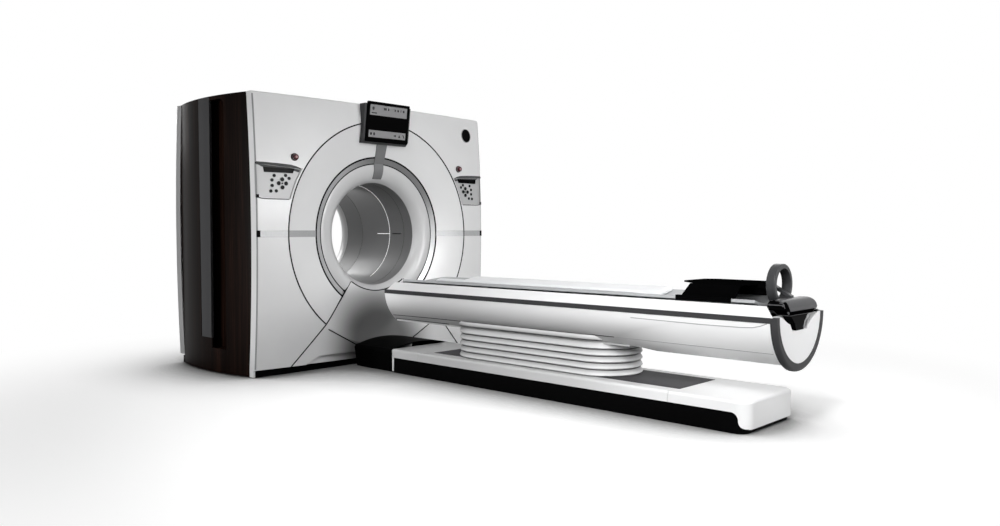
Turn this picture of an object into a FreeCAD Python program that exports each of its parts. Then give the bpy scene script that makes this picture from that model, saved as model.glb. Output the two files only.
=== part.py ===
"""CT scanner: ring gantry with its rotor, and a patient table that lifts and feeds.

Millimetres. The origin is on the floor under the middle of the gantry's bore.
+X is to the right for someone facing the gantry from the table, +Y runs from the
table into the bore, +Z is up. Each sub-part is written to parts/NAME.step.
"""
import FreeCAD, Part
import math
import os

V = FreeCAD.Vector

# ---------------------------------------------------------------- driving sizes
# Gantry envelope
ISO_Z = 999.5            # height of the bore's axis
HALF_W = 1097.0          # half-width over the covers
TOP_Z = 1984.0           # top of the covers
COVER_Z = 55.0           # lower edge of the front covers
DISH_DEPTH = 617.7       # mid-plane to the face at the dished ring's joint
FACE_R = 10500.0         # radius of the crowned front and rear faces
WALL = 8.0               # wall of the large moulded covers
THIN = 6.0               # wall of the smaller covers
SEAM = 3.0               # open joint between two covers
FIT = 0.3                # gap between pieces that seat on each other
FRONT_RETURN = 72.0      # depth of the front covers' side walls
REAR_RETURN = 77.0       # depth of the rear cover's side walls
REAR_COVER_Z = 70.0      # lower edge of the rear cover
CORNER_ROUND = 12.0      # rounding of the front covers' outer edges

# Bore and the rings round it, each as radius and distance in front of mid-plane
BORE_R = 400.0
BORE_WALL = 5.0
BORE_LIP_Y = 482.0
RING_IN_R, RING_IN_Y = 545.0, 542.0
RING_OUT_R, RING_OUT_Y = 592.0, 558.5
DISH_R = 860.0           # circular joint between the dished ring and the outer covers
DISH_CROWN = 5.0         # how far the dished ring swells between its edges
DISH_FLANGE = 40.0
REAR_BORE_Y = 396.0      # where the bore starts to flare towards the rear
REAR_FLARE_R = 600.0
WINDOW_FRONT_Y, WINDOW_REAR_Y = -192.0, 180.0
LASER_FRONT_Y, LASER_REAR_Y = -340.0, -222.0
LASER_SLOT = 8.0

# Lower front cover
LOWER_LIP_R, LOWER_LIP_Y = 443.0, 527.0
LOWER_TOP = (262.0, 636.0)     # upper end of each diagonal joint
LOWER_FOOT = (827.0, 52.0)     # lower end
LOWER_PROUD = 6.0
KICK_FOOT_X, KICK_TOP_X, KICK_TOP_Z = 719.0, 611.0, 117.0
KICK_DEPTH = 26.0

# Trim strips and display
STRIP_LOW_Z, STRIP_HIGH_Z = 980.0, 1026.0
STRIP_PROUD = 1.5
STRIP_DEPTH = 4.0
STRIP_END = 26.0
STEM_ABOVE_BORE = 27.5
STEM_LOW_W, STEM_HIGH_W = 84.0, 99.0
STEM_PROUD = 6.0
HOUSING_HALF_W, HOUSING_H, HOUSING_BACK = 222.0, 294.0, 520.0
HOUSING_CHAMFER = 26.0
SCREEN_HALF_W = 205.0
SCREEN_BELOW, SCREEN_ABOVE = 284.0, 16.0           # its edges from the covers' top
SCREEN_LOW_PROUD, SCREEN_HIGH_PROUD = 18.4, 78.8   # its edges before the crowned face
SCREEN_THICK = 10.0

# Control panels on each side of the bore. A place is a share of the way from the
# dished ring to the cover's edge, and a height.
PANEL_LOW_Z, PANEL_HIGH_Z = (1244.0, 1254.0), (1467.0, 1486.0)  # inner and outer edge
PANEL_RING_GAP = 12.0
PANEL_DEPTH = 11.0
PANEL_THICK = 4.0
PANEL_RIM = 5.0
PANEL_WINDOW = ((0.83, 1465.0), (0.17, 1460.0), (0.16, 1429.0), (0.80, 1429.0))
PANEL_WINDOW_THICK = 5.0
KEY_CENTRE = (0.33, 1355.0)
ARROW_STEP = 28.0
ARROW_R = 12.0
ARROW_PROUD = 5.0
SMALL_KEY_R = 7.0
SMALL_KEY_PROUD = 3.0
SMALL_KEYS = ((0.565, 1408.0), (0.60, 1376.0), (0.575, 1338.0), (0.59, 1299.0), (0.445, 1301.0),
              (0.305, 1412.0), (0.20, 1392.0))
KEYPAD_THICK, KEYPAD_HALF_H = 3.0, 78.0
KEYPAD_SHARE = 0.68
ESTOP_PLACE = (0.29, 1544.0)
ESTOP_R, ESTOP_RING_R = 20.0, 27.0
ESTOP_STEM_R = 11.0
ESTOP_HIGH = 17.0
ESTOP_TRAVEL = 5.0

# Side panels
SIDE_BULGE = 65.0        # how far a side panel swells beyond the covers' edge
SIDE_THICK = 12.0
SIDE_Z = 8.0
GRIP_FRONT_Y, GRIP_REAR_Y = -78.0, 82.0
GRIP_LOW_Z = 250.0
GRIP_THICK = 18.0
GRIP_TAPER = (8.0, 12.0)       # at the foot of its front and rear edge
GRIP_RIBS_Z = (400.0, 1000.0, 1600.0)
GRIP_RIB_Y, GRIP_RIB_HALF_W, GRIP_RIB_H = 30.0, 20.0, 30.0
SLOT_FRONT_Y = -250.0
SLOT_LOW_Z = 178.0
SLOT_BELOW_TOP = 28.0    # from the covers' top to the slot's upper end
SLOT_BEND = 54.0         # radius of its upper front corner
SLOT_DEPTH = 70.0
TOP_THICK = 8.0
TOP_DROP = 6.0

# Plinth and frame
PLINTH_INSET = 17.0      # behind the covers' edge
PLINTH_HALF_D = 530.0
PLINTH_RAIL = 110.0
LEDGE = 40.0             # width of the ledge that carries the rear cover
ANCHOR_IN_X, ANCHOR_IN_Y, ANCHOR_R = 100.0, 55.0, 11.0   # from the plinth's corners
FRAME_BASE_TOP = 95.0
FRAME_FRONT_Y, FRAME_REAR_Y = 262.0, 322.0
FRAME_RING_IN_R, FRAME_RING_OUT_R = 560.0, 780.0
POST_INSET, POST_W, POST_TOP_Z = 157.0, 90.0, 1560.0
SIDE_BRACKETS_Z = (400.0, 1300.0)

# Rotor
ROTOR_R = 850.0
ROTOR_PLATE_FRONT_Y, ROTOR_PLATE_REAR_Y = 200.0, 235.0
ROTOR_PLATE_IN_R = 428.0
RIM_THICK = 14.0
RIM_FRONT_Y = -150.0
RACE_WALL, HUB_WALL, RACE_LIP = 38.0, 52.0, 30.0
RACE_PLAY = 0.1
HUB_REAR_Y = 326.0
SLIP_RING_INSET, SLIP_RING_WIDE, SLIP_RING_THICK = 10.0, 120.0, 18.0
SLIP_TRACKS = 5
TUBE_DIST = 690.0        # x-ray tube's axis from the bore's axis
TUBE_R, TUBE_HALF_LEN = 98.0, 150.0
COLLIMATOR_TOP, COLLIMATOR_LOW = 585.0, 470.0
DETECTOR_ARC_R = 1100.0  # from the tube's focus
DETECTOR_THICK = 62.0
DETECTOR_HALF_ANGLE = 27.0
DETECTOR_HALF_DEPTH = 90.0
GENERATOR_IN, GENERATOR_OUT, GENERATOR_HALF_H = 500.0, 735.0, 150.0
BALANCE_IN_R, BALANCE_HALF_ANGLE, BALANCE_FRONT_Y = 740.0, 34.0, -80.0

# Rotor drive
PULLEY_INSET, PULLEY_Z, PULLEY_R = 192.0, 190.0, 60.0
BELT_THICK, BELT_FRONT_Y, BELT_REAR_Y = 3.5, 206.0, 230.0
MOTOR_R, MOTOR_LEN, SHAFT_R = 72.0, 190.0, 14.0

# Table base
BASE_HALF_W = 281.0
BASE_NEAR_Y, BASE_FAR_Y = -3793.0, -1040.0
BASE_TOP_Z, BASE_SKIRT_Z = 170.0, 110.0
BASE_INSET = 10.0
BASE_PLATE = 10.0
BASE_ROUND = 72.0
BASE_TOP_ROUND = 16.0
END_SEAM_Y, FRONT_SEAM_Y = -3337.0, -1330.0
END_LOW_Z = 25.0
END_CURVE_Y, END_CURVE_RUN = -3700.0, 84.0   # where the end's lower edge leaves the skirt, and its run
TABLE_ANCHOR_X, TABLE_ANCHOR_NEAR_Y, TABLE_ANCHOR_FAR_Y, TABLE_ANCHOR_R = 225.0, -3150.0, -1250.0, 9.0
MAT_HALF_W, MAT_THICK = 195.0, 3.0
MAT_NEAR_Y, MAT_FAR_Y = -3357.0, -1396.0
DOCK_HALF_W, DOCK_SIDE_Z, DOCK_CROWN_Z = 294.0, 168.0, 204.0
DOCK_FOOT_W = 262.0
DOCK_WALL = 4.0

# Lift
COLUMN_Y = (-1800.0, -2630.0)
COLUMN_W = 170.0
COLUMN_WALL = 8.0
COLUMN_PLAY = 0.5
OUTER_TOP_Z = 336.0
MIDDLE_LOW_Z, MIDDLE_TOP_Z = 24.0, 352.0
INNER_LOW_Z = 36.0
WELL_HALF_W, WELL_MARGIN = 120.0, 110.0

# Bellows
BELLOWS_NEAR_Y, BELLOWS_FAR_Y = -2963.0, -1541.0
BELLOWS_HALF_W = 244.0
BELLOWS_FOLDS = 5
BELLOWS_TOP_FOLD = 1.47        # height of the uppermost fold, as a multiple of the others
BELLOWS_RIDGE = 0.28           # where a fold stands out furthest, as a share of its height
BELLOWS_FOLD_DEPTH = 16.0
BELLOWS_WALL = 4.0
BELLOWS_RIM_ABOVE = 11.0       # its rim over the table's flat underside
BELLOWS_RIM_H, BELLOWS_RIM_PROUD = 32.0, 14.0

# Table top
TABLE_R = 292.0
TABLE_Z = 601.0          # top of the edge bands
TABLE_NEAR_Y, TABLE_FAR_Y = -3941.0, -973.0
BODY_FLAT_Z = 378.0
BODY_STEP_Y, BODY_SLOPE_Y, BODY_SLOPE_Z = -3045.0, -3190.0, 355.0
BODY_WALL = 6.0
BAND_H, BAND_PROUD, BAND_THICK = 28.0, 1.0, 8.0
RIM_WIDE, RIM_DEEP, RIM_ROUND = 42.0, 30.0, 18.0
PANEL_SET_BACK = 5.0
NOTCH_TOP_W, NOTCH_STEP_W, NOTCH_STEP_Z = 222.0, 132.0, 560.0    # wide upper part of the notch
NOTCH_MID_W, NOTCH_LOW_W, NOTCH_LOW_Z = 122.0, 92.0, 521.0       # narrow lower part
NOTCH_DEEP = 60.0
TRAY_HALF_W, TRAY_THICK = 186.0, 11.0
DECK_IN_X, DECK_IN_Z = 212.0, 650.0
DECK_THICK = 6.0
DECK_NEAR_IN_Y, DECK_NEAR_OUT_Y, DECK_FAR_Y = -3855.0, -3925.0, -1000.0
DECK_SEAM_Y = -3155.0
RAIL_X, RAIL_W, RAIL_TOP_Z = 118.0, 36.0, 598.0
RAIL_LOW_Z = 396.0
RAIL_NEAR_Y, RAIL_FAR_Y = -3840.0, -1010.0
RAIL_SHEET = 8.0
CROSS_MEMBERS_Y = (-3700.0, -3200.0, -2200.0, -1400.0)
CROSS_MEMBER_W, CROSS_MEMBER_H = 40.0, 60.0
CRADLE_DRIVE_Y = -3320.0

# Cradle and what rides on it
CRADLE_HALF_W = 205.0
CRADLE_LOW_Z, CRADLE_EDGE_LOW_Z = 628.0, 660.0
CRADLE_IN_Z, CRADLE_EDGE_Z = 644.0, 676.0
CRADLE_NEAR_Y, CRADLE_FAR_Y = -3788.0, -986.0
CRADLE_NOSE = 120.0
PAD_HALF_W = 200.0
PAD_MID_Z, PAD_EDGE_Z = 668.0, 705.0
PAD_NEAR_Y, PAD_FAR_Y = -3094.0, -1400.0
PAD_BEVEL = 30.0
CARRIAGE_NEAR_Y, CARRIAGE_FAR_Y = -3780.0, -3480.0
CARRIAGE_HALF_W = 150.0
ROLLER_Y, ROLLER_R, ROLLER_HALF_W = -1060.0, 26.0, 110.0
ACCESSORY_Z = 745.0
ACCESSORY_HALF_W = 150.0
ACCESSORY_NEAR_Y, ACCESSORY_FAR_Y = -3735.0, -3330.0
ACCESSORY_THICK = 9.0
WING_INSET = 10.0
FOOT_THICK, FOOT_DROP = 5.0, 22.0            # strip that hooks over the board's edge
TAIL_OUT, TAIL_IN, TAIL_HALF_W, TAIL_H = 35.0, 30.0, 60.0, 18.0
STEP_HALF_W, STEP_H = 44.0, 34.0             # lower step of the bracket under the tail
ARM_X = (12.0, 46.0)
RING_Y, RING_Z, RING_R, RING_SECTION, RING_DEPTH = -3822.0, 747.0, 108.0, 24.0, 50.0
HANDLE_HALF_W = 192.0
HANDLE_NEAR_Y, HANDLE_FAR_Y = -3946.0, -3849.0
HANDLE_LOW_Z, HANDLE_HIGH_Z = 600.0, 680.0

# Places that follow from the sizes above
CORNER_R = math.hypot(HALF_W, TOP_Z - ISO_Z)
CORNER_DEPTH = DISH_DEPTH + math.sqrt(FACE_R**2 - CORNER_R**2) - math.sqrt(FACE_R**2 - DISH_R**2)
OUT_R = CORNER_R + 226.0   # beyond every corner of the covers
PLINTH_HALF_W = HALF_W - PLINTH_INSET
POST_X = HALF_W - POST_INSET
PULLEY_X = PULLEY_INSET - HALF_W
RACE_R = FRAME_RING_IN_R - RACE_WALL
HUB_IN_R = RACE_R - HUB_WALL
SLIP_RING_IN_R = HUB_IN_R + SLIP_RING_INSET
SLIP_RING_OUT_R = SLIP_RING_IN_R + SLIP_RING_WIDE
HOUSING_LOW_Z = TOP_Z - HOUSING_H
SIDES = (-1, 1)


# ---------------------------------------------------------------- shape helpers
def block(x0, x1, y0, y1, z0, z1):
    """Box between two values on each axis, given in either order."""
    x0, x1, y0, y1, z0, z1 = min(x0, x1), max(x0, x1), min(y0, y1), max(y0, y1), min(z0, z1), max(z0, z1)
    return Part.makeBox(x1 - x0, y1 - y0, z1 - z0, V(x0, y0, z0))


def rod(start, end, radius):
    """Round bar from one point to another."""
    a, b = V(*start), V(*end)
    return Part.makeCylinder(radius, (b - a).Length, a, b - a)


def tube(start, end, radius, bore):
    return rod(start, end, radius).cut(rod(start, end, bore))


def face(place, steps):
    """Flat face round closed steps: a step is a point, or (via, end) for an arc."""
    here, edges = steps[0], []
    for step in list(steps[1:]) + [steps[0]]:
        arc = isinstance(step[0], tuple)
        end = step[1] if arc else step
        a, b = place(*here), place(*end)
        if arc:
            edges.append(Part.Arc(a, place(*step[0]), b).toShape())
        elif (a - b).Length > 1e-6:
            edges.append(Part.LineSegment(a, b).toShape())
        here = end
    return Part.Face(Part.Wire(edges))


def backwards(steps):
    """The same line of points and arcs, run from its end to its start."""
    ends = [step[1] if isinstance(step[0], tuple) else step for step in steps]
    out = [ends[-1]]
    for i in range(len(steps) - 1, 0, -1):
        arc = isinstance(steps[i][0], tuple)
        out.append((steps[i][0], ends[i - 1]) if arc else ends[i - 1])
    return out


def turned(steps):
    """Solid of revolution about the bore's axis, from a section of (radius, y)."""
    section = face(lambda r, y: V(r, y, ISO_Z), steps)
    return section.revolve(V(0, 0, ISO_Z), V(0, 1, 0), 360)


def front_prism(steps, y0=-900.0, y1=900.0):
    """Extrusion along Y of an outline of (x, z)."""
    return face(lambda x, z: V(x, y0, z), steps).extrude(V(0, y1 - y0, 0))


def side_prism(steps, x0, x1):
    """Extrusion along X of an outline of (y, z)."""
    return face(lambda y, z: V(x0, y, z), steps).extrude(V(x1 - x0, 0, 0))


def plan_prism(steps, z0, z1):
    """Extrusion along Z of an outline of (x, y)."""
    return face(lambda x, y: V(x, y, z0), steps).extrude(V(0, 0, z1 - z0))


def fused(shapes):
    whole = shapes[0].fuse(shapes[1:]) if len(shapes) > 1 else shapes[0]
    return whole.removeSplitter()


def rounded(shape, radius, wanted):
    """The shape with a rounding on each edge whose midpoint the test accepts."""
    edges = [e for e in shape.Edges if wanted(e.CenterOfMass, e)]
    return shape.makeFillet(radius, edges)


# ---------------------------------------------------------------- gantry surfaces
def crown(r):
    """Distance of the crowned face from mid-plane at a radius from the bore's axis."""
    return DISH_DEPTH + math.sqrt(FACE_R**2 - r**2) - math.sqrt(FACE_R**2 - DISH_R**2)


def across(share, z):
    """Distance from mid-plane of a place between the panel's ring edge and the cover's edge."""
    ring = math.sqrt((DISH_R + PANEL_RING_GAP)**2 - (z - ISO_Z)**2)
    return ring + share * (HALF_W - ring)


def crown_slice(r0, r1, near, far, side):
    """Ring of a crowned face (front -1, rear 1), between two depths behind it."""
    mid = (r0 + r1) / 2

    def at(r, depth):
        return (r, side * (crown(r) - depth))
    return turned([at(r0, near), (at(mid, near), at(r1, near)),
                   at(r1, far), (at(mid, far), at(r0, far))])


def dish_via():
    """Middle of the dished ring's section, swelled off its chord."""
    return ((RING_OUT_R + DISH_R) / 2, -(RING_OUT_Y + crown(DISH_R)) / 2 - DISH_CROWN)


def front_line(shift):
    """Section of the whole front, from the bore's edge outwards, moved back by shift."""
    funnel_via = (BORE_R + 0.30 * (RING_IN_R - BORE_R), -BORE_LIP_Y - 0.72 * (RING_IN_Y - BORE_LIP_Y))
    far_via = (DISH_R + OUT_R) / 2
    line = [(BORE_R, -BORE_LIP_Y), (funnel_via, (RING_IN_R, -RING_IN_Y)), (RING_OUT_R, -RING_OUT_Y),
            (dish_via(), (DISH_R, -crown(DISH_R))), ((far_via, -crown(far_via)), (OUT_R, -crown(OUT_R)))]
    moved = []
    for step in line:
        if isinstance(step[0], tuple):
            moved.append(((step[0][0], step[0][1] + shift), (step[1][0], step[1][1] + shift)))
        else:
            moved.append((step[0], step[1] + shift))
    return moved


def front_layer(near, far):
    """Sheet that follows the whole front between two depths behind its surface."""
    return turned(front_line(near) + backwards(front_line(far)))


def lower_region(grow):
    """Area of the lower front cover between its two diagonal joints."""
    slope = (LOWER_FOOT[0] - LOWER_TOP[0]) / (LOWER_TOP[1] - LOWER_FOOT[1])
    low_z = 30.0
    low_x = LOWER_FOOT[0] + (LOWER_FOOT[1] - low_z) * slope + grow
    top_x = LOWER_TOP[0] + grow
    return front_prism([(-low_x, low_z), (-top_x, LOWER_TOP[1]), (top_x, LOWER_TOP[1]), (low_x, low_z)])


def strip_zone(grow):
    """Height of the silver strips across the front, on both sides of the rings."""
    inner = RING_OUT_R + SEAM
    return [block(s * (inner - grow), s * OUT_R, -900, -400, STRIP_LOW_Z - grow, STRIP_HIGH_Z + grow)
            for s in SIDES]


def panel_area(grow, side):
    """Outline of a control panel: a band from the cover's edge to the dished ring."""
    (low_in, low_out), (high_in, high_out) = PANEL_LOW_Z, PANEL_HIGH_Z
    x_high, x_low, edge = across(0, high_in) - THIN - grow, across(0, low_in) - THIN - grow, HALF_W + grow
    outline = [(side * edge, high_out + grow), (side * x_high, high_in + grow),
               (side * x_low, low_in - grow), (side * edge, low_out - grow)]
    ring = rod((0, -900, ISO_Z), (0, 900, ISO_Z), DISH_R + PANEL_RING_GAP - grow)
    return front_prism(outline).cut(ring)


# ---------------------------------------------------------------- gantry covers
def front_form(side):
    """Outer form of one front cover, with its outer edges rounded."""
    form = crown_slice(DISH_R + SEAM / 2, OUT_R, 0, FRONT_RETURN, -1).common(
        block(side * SEAM / 2, side * HALF_W, -900, 0, COVER_Z, TOP_Z))
    return rounded(form, CORNER_ROUND, lambda c, e: c.y < -CORNER_DEPTH + 20 and (
        abs(abs(c.x) - HALF_W) < 1 or abs(c.z - TOP_Z) < 1) and e.Length > 300)


def front_cover(side):
    inner = crown_slice(DISH_R + SEAM / 2 + WALL, OUT_R, WALL, FRONT_RETURN + 1, -1).common(
        block(side * (SEAM / 2 + WALL), side * (HALF_W - WALL), -900, 0, COVER_Z + WALL, TOP_Z - WALL))
    recess = crown_slice(DISH_R, OUT_R, -5, PANEL_DEPTH + PANEL_THICK + FIT, -1).common(panel_area(0, side))
    cover = front_form(side).cut([inner, lower_region(SEAM * 1.4), recess, front_layer(
        -5, STRIP_DEPTH + FIT).common(strip_zone(FIT)[(side + 1) // 2])])
    x, y, z = estop_place(side)
    return cover.cut(rod((x, y - 40, z), (x, y + 40, z), ESTOP_RING_R - 3))


def front_ring_cover():
    """Dished ring between the silver ring and the outer covers."""
    outer_r, inner_r = DISH_R - SEAM / 2, RING_OUT_R + 1
    seam_y, ring_y = -crown(DISH_R), -RING_OUT_Y
    via = dish_via()
    ring = turned([(inner_r, ring_y), (via, (outer_r, seam_y)), (outer_r, seam_y + DISH_FLANGE),
                   (outer_r - WALL, seam_y + DISH_FLANGE), (outer_r - WALL, seam_y + WALL),
                   ((via[0], via[1] + WALL), (inner_r + WALL, ring_y + WALL)),
                   (inner_r + WALL, ring_y + 3 * WALL), (inner_r, ring_y + 3 * WALL)])
    groove = [front_layer(-5, STRIP_DEPTH + FIT).common(zone) for zone in strip_zone(FIT)]
    return ring.cut(groove + [lower_region(SEAM * 1.4)])


def front_trim():
    """Silver ring and the two silver strips that run out to the covers' edges."""
    ring = turned([(RING_IN_R + 0.5, -RING_IN_Y - 1), (RING_OUT_R, -RING_OUT_Y - 1),
                   (RING_OUT_R, -RING_OUT_Y + WALL), (RING_IN_R + 0.5, -RING_IN_Y + WALL)])
    layer = front_layer(-STRIP_PROUD, STRIP_DEPTH)
    span = block(-HALF_W + STRIP_END, HALF_W - STRIP_END, -900, -400, 0, TOP_Z)
    strips = [layer.common(zone).common(span) for zone in strip_zone(0)]
    return [ring.cut(lower_region(SEAM * 1.4))] + strips


def trim_windows():
    """Dark end block of each strip and the dark window of each control panel."""
    layer = front_layer(-STRIP_PROUD, STRIP_DEPTH)
    pieces = []
    for i, side in enumerate(SIDES):
        end = block(side * (HALF_W - STRIP_END + FIT), side * HALF_W, -900, -400, 0, TOP_Z)
        pieces.append(layer.common(strip_zone(0)[i]).common(end))
        outline = [(side * across(share, z), z) for share, z in PANEL_WINDOW]
        sheet = crown_slice(DISH_R, OUT_R, PANEL_DEPTH - PANEL_WINDOW_THICK, PANEL_DEPTH - FIT, -1)
        pieces.append(sheet.common(front_prism(outline)))
    return pieces


def bore_funnel():
    """White bell mouth from the silver ring down to the bore."""
    line = front_line(0)
    via, end = line[1]
    wall = BORE_WALL + 1
    whole = turned([line[0], (via, end), (end[0], end[1] + WALL + 14), (end[0] - wall, end[1] + WALL + 14),
                    (end[0] - wall, end[1] + wall), ((via[0] + wall, via[1] + wall), (BORE_R + wall, -BORE_LIP_Y))])
    lip = rod((0, -900, ISO_Z), (0, 0, ISO_Z), LOWER_LIP_R - FIT)
    return whole.cut(lower_region(SEAM * 1.4).cut(lip))


def bore_liner():
    """Grey lining of the bore, in front of and behind the scan window, with laser slots."""
    front = tube((0, -BORE_LIP_Y + FIT, ISO_Z), (0, WINDOW_FRONT_Y - FIT, ISO_Z), BORE_R + BORE_WALL, BORE_R)
    rear = tube((0, WINDOW_REAR_Y + FIT, ISO_Z), (0, REAR_BORE_Y - FIT, ISO_Z), BORE_R + BORE_WALL, BORE_R)
    half = LASER_SLOT / 2
    slots = [block(s * (BORE_R - 20), s * (BORE_R + 20), LASER_FRONT_Y, LASER_REAR_Y, ISO_Z - half, ISO_Z + half)
             for s in SIDES]
    slots.append(block(-half, half, LASER_FRONT_Y, LASER_REAR_Y, ISO_Z + BORE_R - 20, ISO_Z + BORE_R + 20))
    return [front.cut(slots), rear]


def scan_window():
    """Thin ring that the x-rays pass through."""
    return tube((0, WINDOW_FRONT_Y, ISO_Z), (0, WINDOW_REAR_Y, ISO_Z), BORE_R + BORE_WALL - 1, BORE_R)


def lower_line(shift):
    """Section of the lower cover from its lip outwards, moved back by shift."""
    far_via = (DISH_R + OUT_R) / 2
    return [(LOWER_LIP_R, -LOWER_LIP_Y + shift), (RING_OUT_R, -RING_OUT_Y - LOWER_PROUD + shift),
            (DISH_R, -crown(DISH_R) + shift),
            ((far_via, -crown(far_via) + shift), (OUT_R, -crown(OUT_R) + shift))]


def lower_layer(near, far):
    return turned(lower_line(near) + backwards(lower_line(far)))


def lower_cover():
    """Cover between the diagonal joints, with its recessed kick panel and a foot flange."""
    kick = front_prism([(-KICK_FOOT_X, COVER_Z - 5), (-KICK_TOP_X, KICK_TOP_Z),
                        (KICK_TOP_X, KICK_TOP_Z), (KICK_FOOT_X, COVER_Z - 5)])
    kick_inside = front_prism([(-KICK_FOOT_X + THIN, COVER_Z - 5), (-KICK_TOP_X + THIN, KICK_TOP_Z - THIN),
                               (KICK_TOP_X - THIN, KICK_TOP_Z - THIN), (KICK_FOOT_X - THIN, COVER_Z - 5)])
    area = lower_region(0).common(block(-HALF_W, HALF_W, -900, 0, COVER_Z, ISO_Z))
    back = lower_layer(KICK_DEPTH, KICK_DEPTH + THIN)
    walls = lower_layer(0, KICK_DEPTH + THIN)
    rest = -PLINTH_HALF_D + 2 * THIN
    flange = turned(lower_line(THIN / 2) + [(OUT_R, rest), (LOWER_LIP_R, rest)]).common(
        block(-HALF_W, HALF_W, -900, 0, COVER_Z, COVER_Z + THIN))
    flange = flange.cut(lower_layer(-1, KICK_DEPTH + THIN / 2).common(kick_inside))
    return fused([lower_layer(0, THIN).cut(kick), back.common(kick), walls.common(kick).cut(kick_inside),
                  flange]).common(area)


def rear_cover():
    """Two halves with side walls and the rear bell mouth of the bore."""
    r0 = REAR_FLARE_R
    outer = crown_slice(r0, OUT_R, 0, REAR_RETURN, 1).common(
        block(-HALF_W, HALF_W, 0, 900, REAR_COVER_Z, TOP_Z))
    outer = rounded(outer, CORNER_ROUND, lambda c, e: c.y > CORNER_DEPTH - 20 and (
        abs(abs(c.x) - HALF_W) < 1 or abs(c.z - TOP_Z) < 1) and e.Length > 300)
    inner = crown_slice(r0 + WALL, OUT_R, WALL, REAR_RETURN + 1, 1).common(
        block(-HALF_W + WALL, HALF_W - WALL, 0, 900, REAR_COVER_Z + WALL, TOP_Z - WALL))
    y0, y1 = REAR_BORE_Y, crown(r0)
    via = (BORE_R + 0.30 * (r0 - BORE_R), y0 + 0.70 * (y1 - y0))
    bell = turned([(BORE_R, y0), (via, (r0 + 1, y1)), (r0 + 1, y1 - WALL - 2),
                   ((via[0] + WALL, via[1] - WALL), (BORE_R + WALL, y0))])
    whole = outer.cut(inner).fuse(bell)
    return whole.cut(block(-SEAM / 2, SEAM / 2, 0, 900, 0, TOP_Z + 10)).Solids


def between_covers(gap):
    """Everything between the front and rear covers' side walls, with a gap to each."""
    def at(r, side, depth):
        return (r, side * (crown(r) - depth - gap))
    front, rear, low, mid = FRONT_RETURN, REAR_RETURN, RING_OUT_R, (RING_OUT_R + OUT_R) / 2
    return turned([at(low, -1, front), (at(mid, -1, front), at(OUT_R, -1, front)),
                   at(OUT_R, 1, rear), (at(mid, 1, rear), at(low, 1, rear))])


def side_sheet(side, shift, thick):
    """Curved sheet of a side panel, moved in by shift, running past both ends."""
    edge = HALF_W - 1
    reach = CORNER_DEPTH - FRONT_RETURN
    outer, inner = shift, shift + thick

    def at(x, y, inset):
        return (side * (x - inset), y)
    mid = edge + SIDE_BULGE
    far = reach + 60
    drop = SIDE_BULGE * ((far / reach)**2 - 1)
    outline = [at(edge - drop, -far, outer), (at(mid, 0, outer), at(edge - drop, far, outer)),
               at(edge - drop, far, inner), (at(mid, 0, inner), at(edge - drop, -far, inner))]
    return plan_prism(outline, SIDE_Z, TOP_Z)


def side_skin(side, shift, thick):
    return side_sheet(side, shift, thick).common(between_covers(SEAM))


def slot_form(side, inner, rear, grow):
    """Room of the slot in from a depth and up to a rear edge, with its bent upper corner."""
    front, low, high = SLOT_FRONT_Y - grow, SLOT_LOW_Z - grow, TOP_Z - SLOT_BELOW_TOP + grow
    via = SLOT_BEND * (1 - math.sqrt(0.5))
    outline = [(front, low), (front, high - SLOT_BEND), ((front + via, high - via), (front + SLOT_BEND, high)),
               (rear, high), (rear, low)]
    return side_prism(outline, side * inner, side * (HALF_W + 2 * SIDE_BULGE))


def side_cover(side):
    """Side panel with the vertical pocket beside the grip bar."""
    skin = side_skin(side, 0, SIDE_THICK)
    x0 = HALF_W + SIDE_BULGE - SLOT_DEPTH
    wall = THIN / 2
    opening = slot_form(side, x0 - SLOT_DEPTH, GRIP_FRONT_Y - FIT, 0)
    bar_gap = side_skin(side, -1, SIDE_THICK + 1 + FIT).common(
        block(0, side * (HALF_W + 2 * SIDE_BULGE), GRIP_FRONT_Y - 1, GRIP_REAR_Y + FIT, GRIP_LOW_Z - FIT, TOP_Z + 1))
    pocket = slot_form(side, x0, GRIP_REAR_Y + FIT + wall, wall).common(side_skin(side, SIDE_THICK / 2, 3 * SLOT_DEPTH))
    hollow = slot_form(side, x0 + wall, GRIP_REAR_Y + FIT, 0)
    return fused([skin.cut(opening), pocket.cut(hollow)]).cut(bar_gap)


def side_grip(side):
    """Grey vertical bar of a side panel, slightly tapered, seated in the pocket."""
    front_taper, rear_taper = GRIP_TAPER
    outside = HALF_W + SIDE_BULGE
    bar = side_skin(side, -1, GRIP_THICK).common(side_prism(
        [(GRIP_FRONT_Y, TOP_Z), (GRIP_REAR_Y, TOP_Z), (GRIP_REAR_Y - rear_taper, GRIP_LOW_Z),
         (GRIP_FRONT_Y + front_taper, GRIP_LOW_Z)], side * (outside - 2 * SLOT_DEPTH), side * (outside + SLOT_DEPTH)))
    above_slot = block(0, side * outside, GRIP_FRONT_Y - 1, GRIP_REAR_Y + 1, TOP_Z - SLOT_BELOW_TOP - FIT, TOP_Z + 1)
    bar = bar.cut(side_skin(side, SIDE_THICK, GRIP_THICK).common(above_slot))
    x0 = outside - SLOT_DEPTH + THIN / 2 + FIT
    ribs = [block(side * x0, side * (outside - GRIP_THICK + 3), GRIP_RIB_Y - GRIP_RIB_HALF_W,
                  GRIP_RIB_Y + GRIP_RIB_HALF_W, z, z + GRIP_RIB_H) for z in GRIP_RIBS_Z]
    return fused([bar] + ribs)


def top_cover():
    """Plate that closes the gantry between the front, rear and side covers."""
    half = HALF_W + SIDE_BULGE
    plate = block(-half, half, -700, 700, TOP_Z - TOP_DROP - TOP_THICK, TOP_Z - TOP_DROP)
    sides = [side_sheet(side, -half, half + SIDE_THICK + FIT) for side in SIDES]
    return plate.common(between_covers(FIT)).cut(sides)


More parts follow.
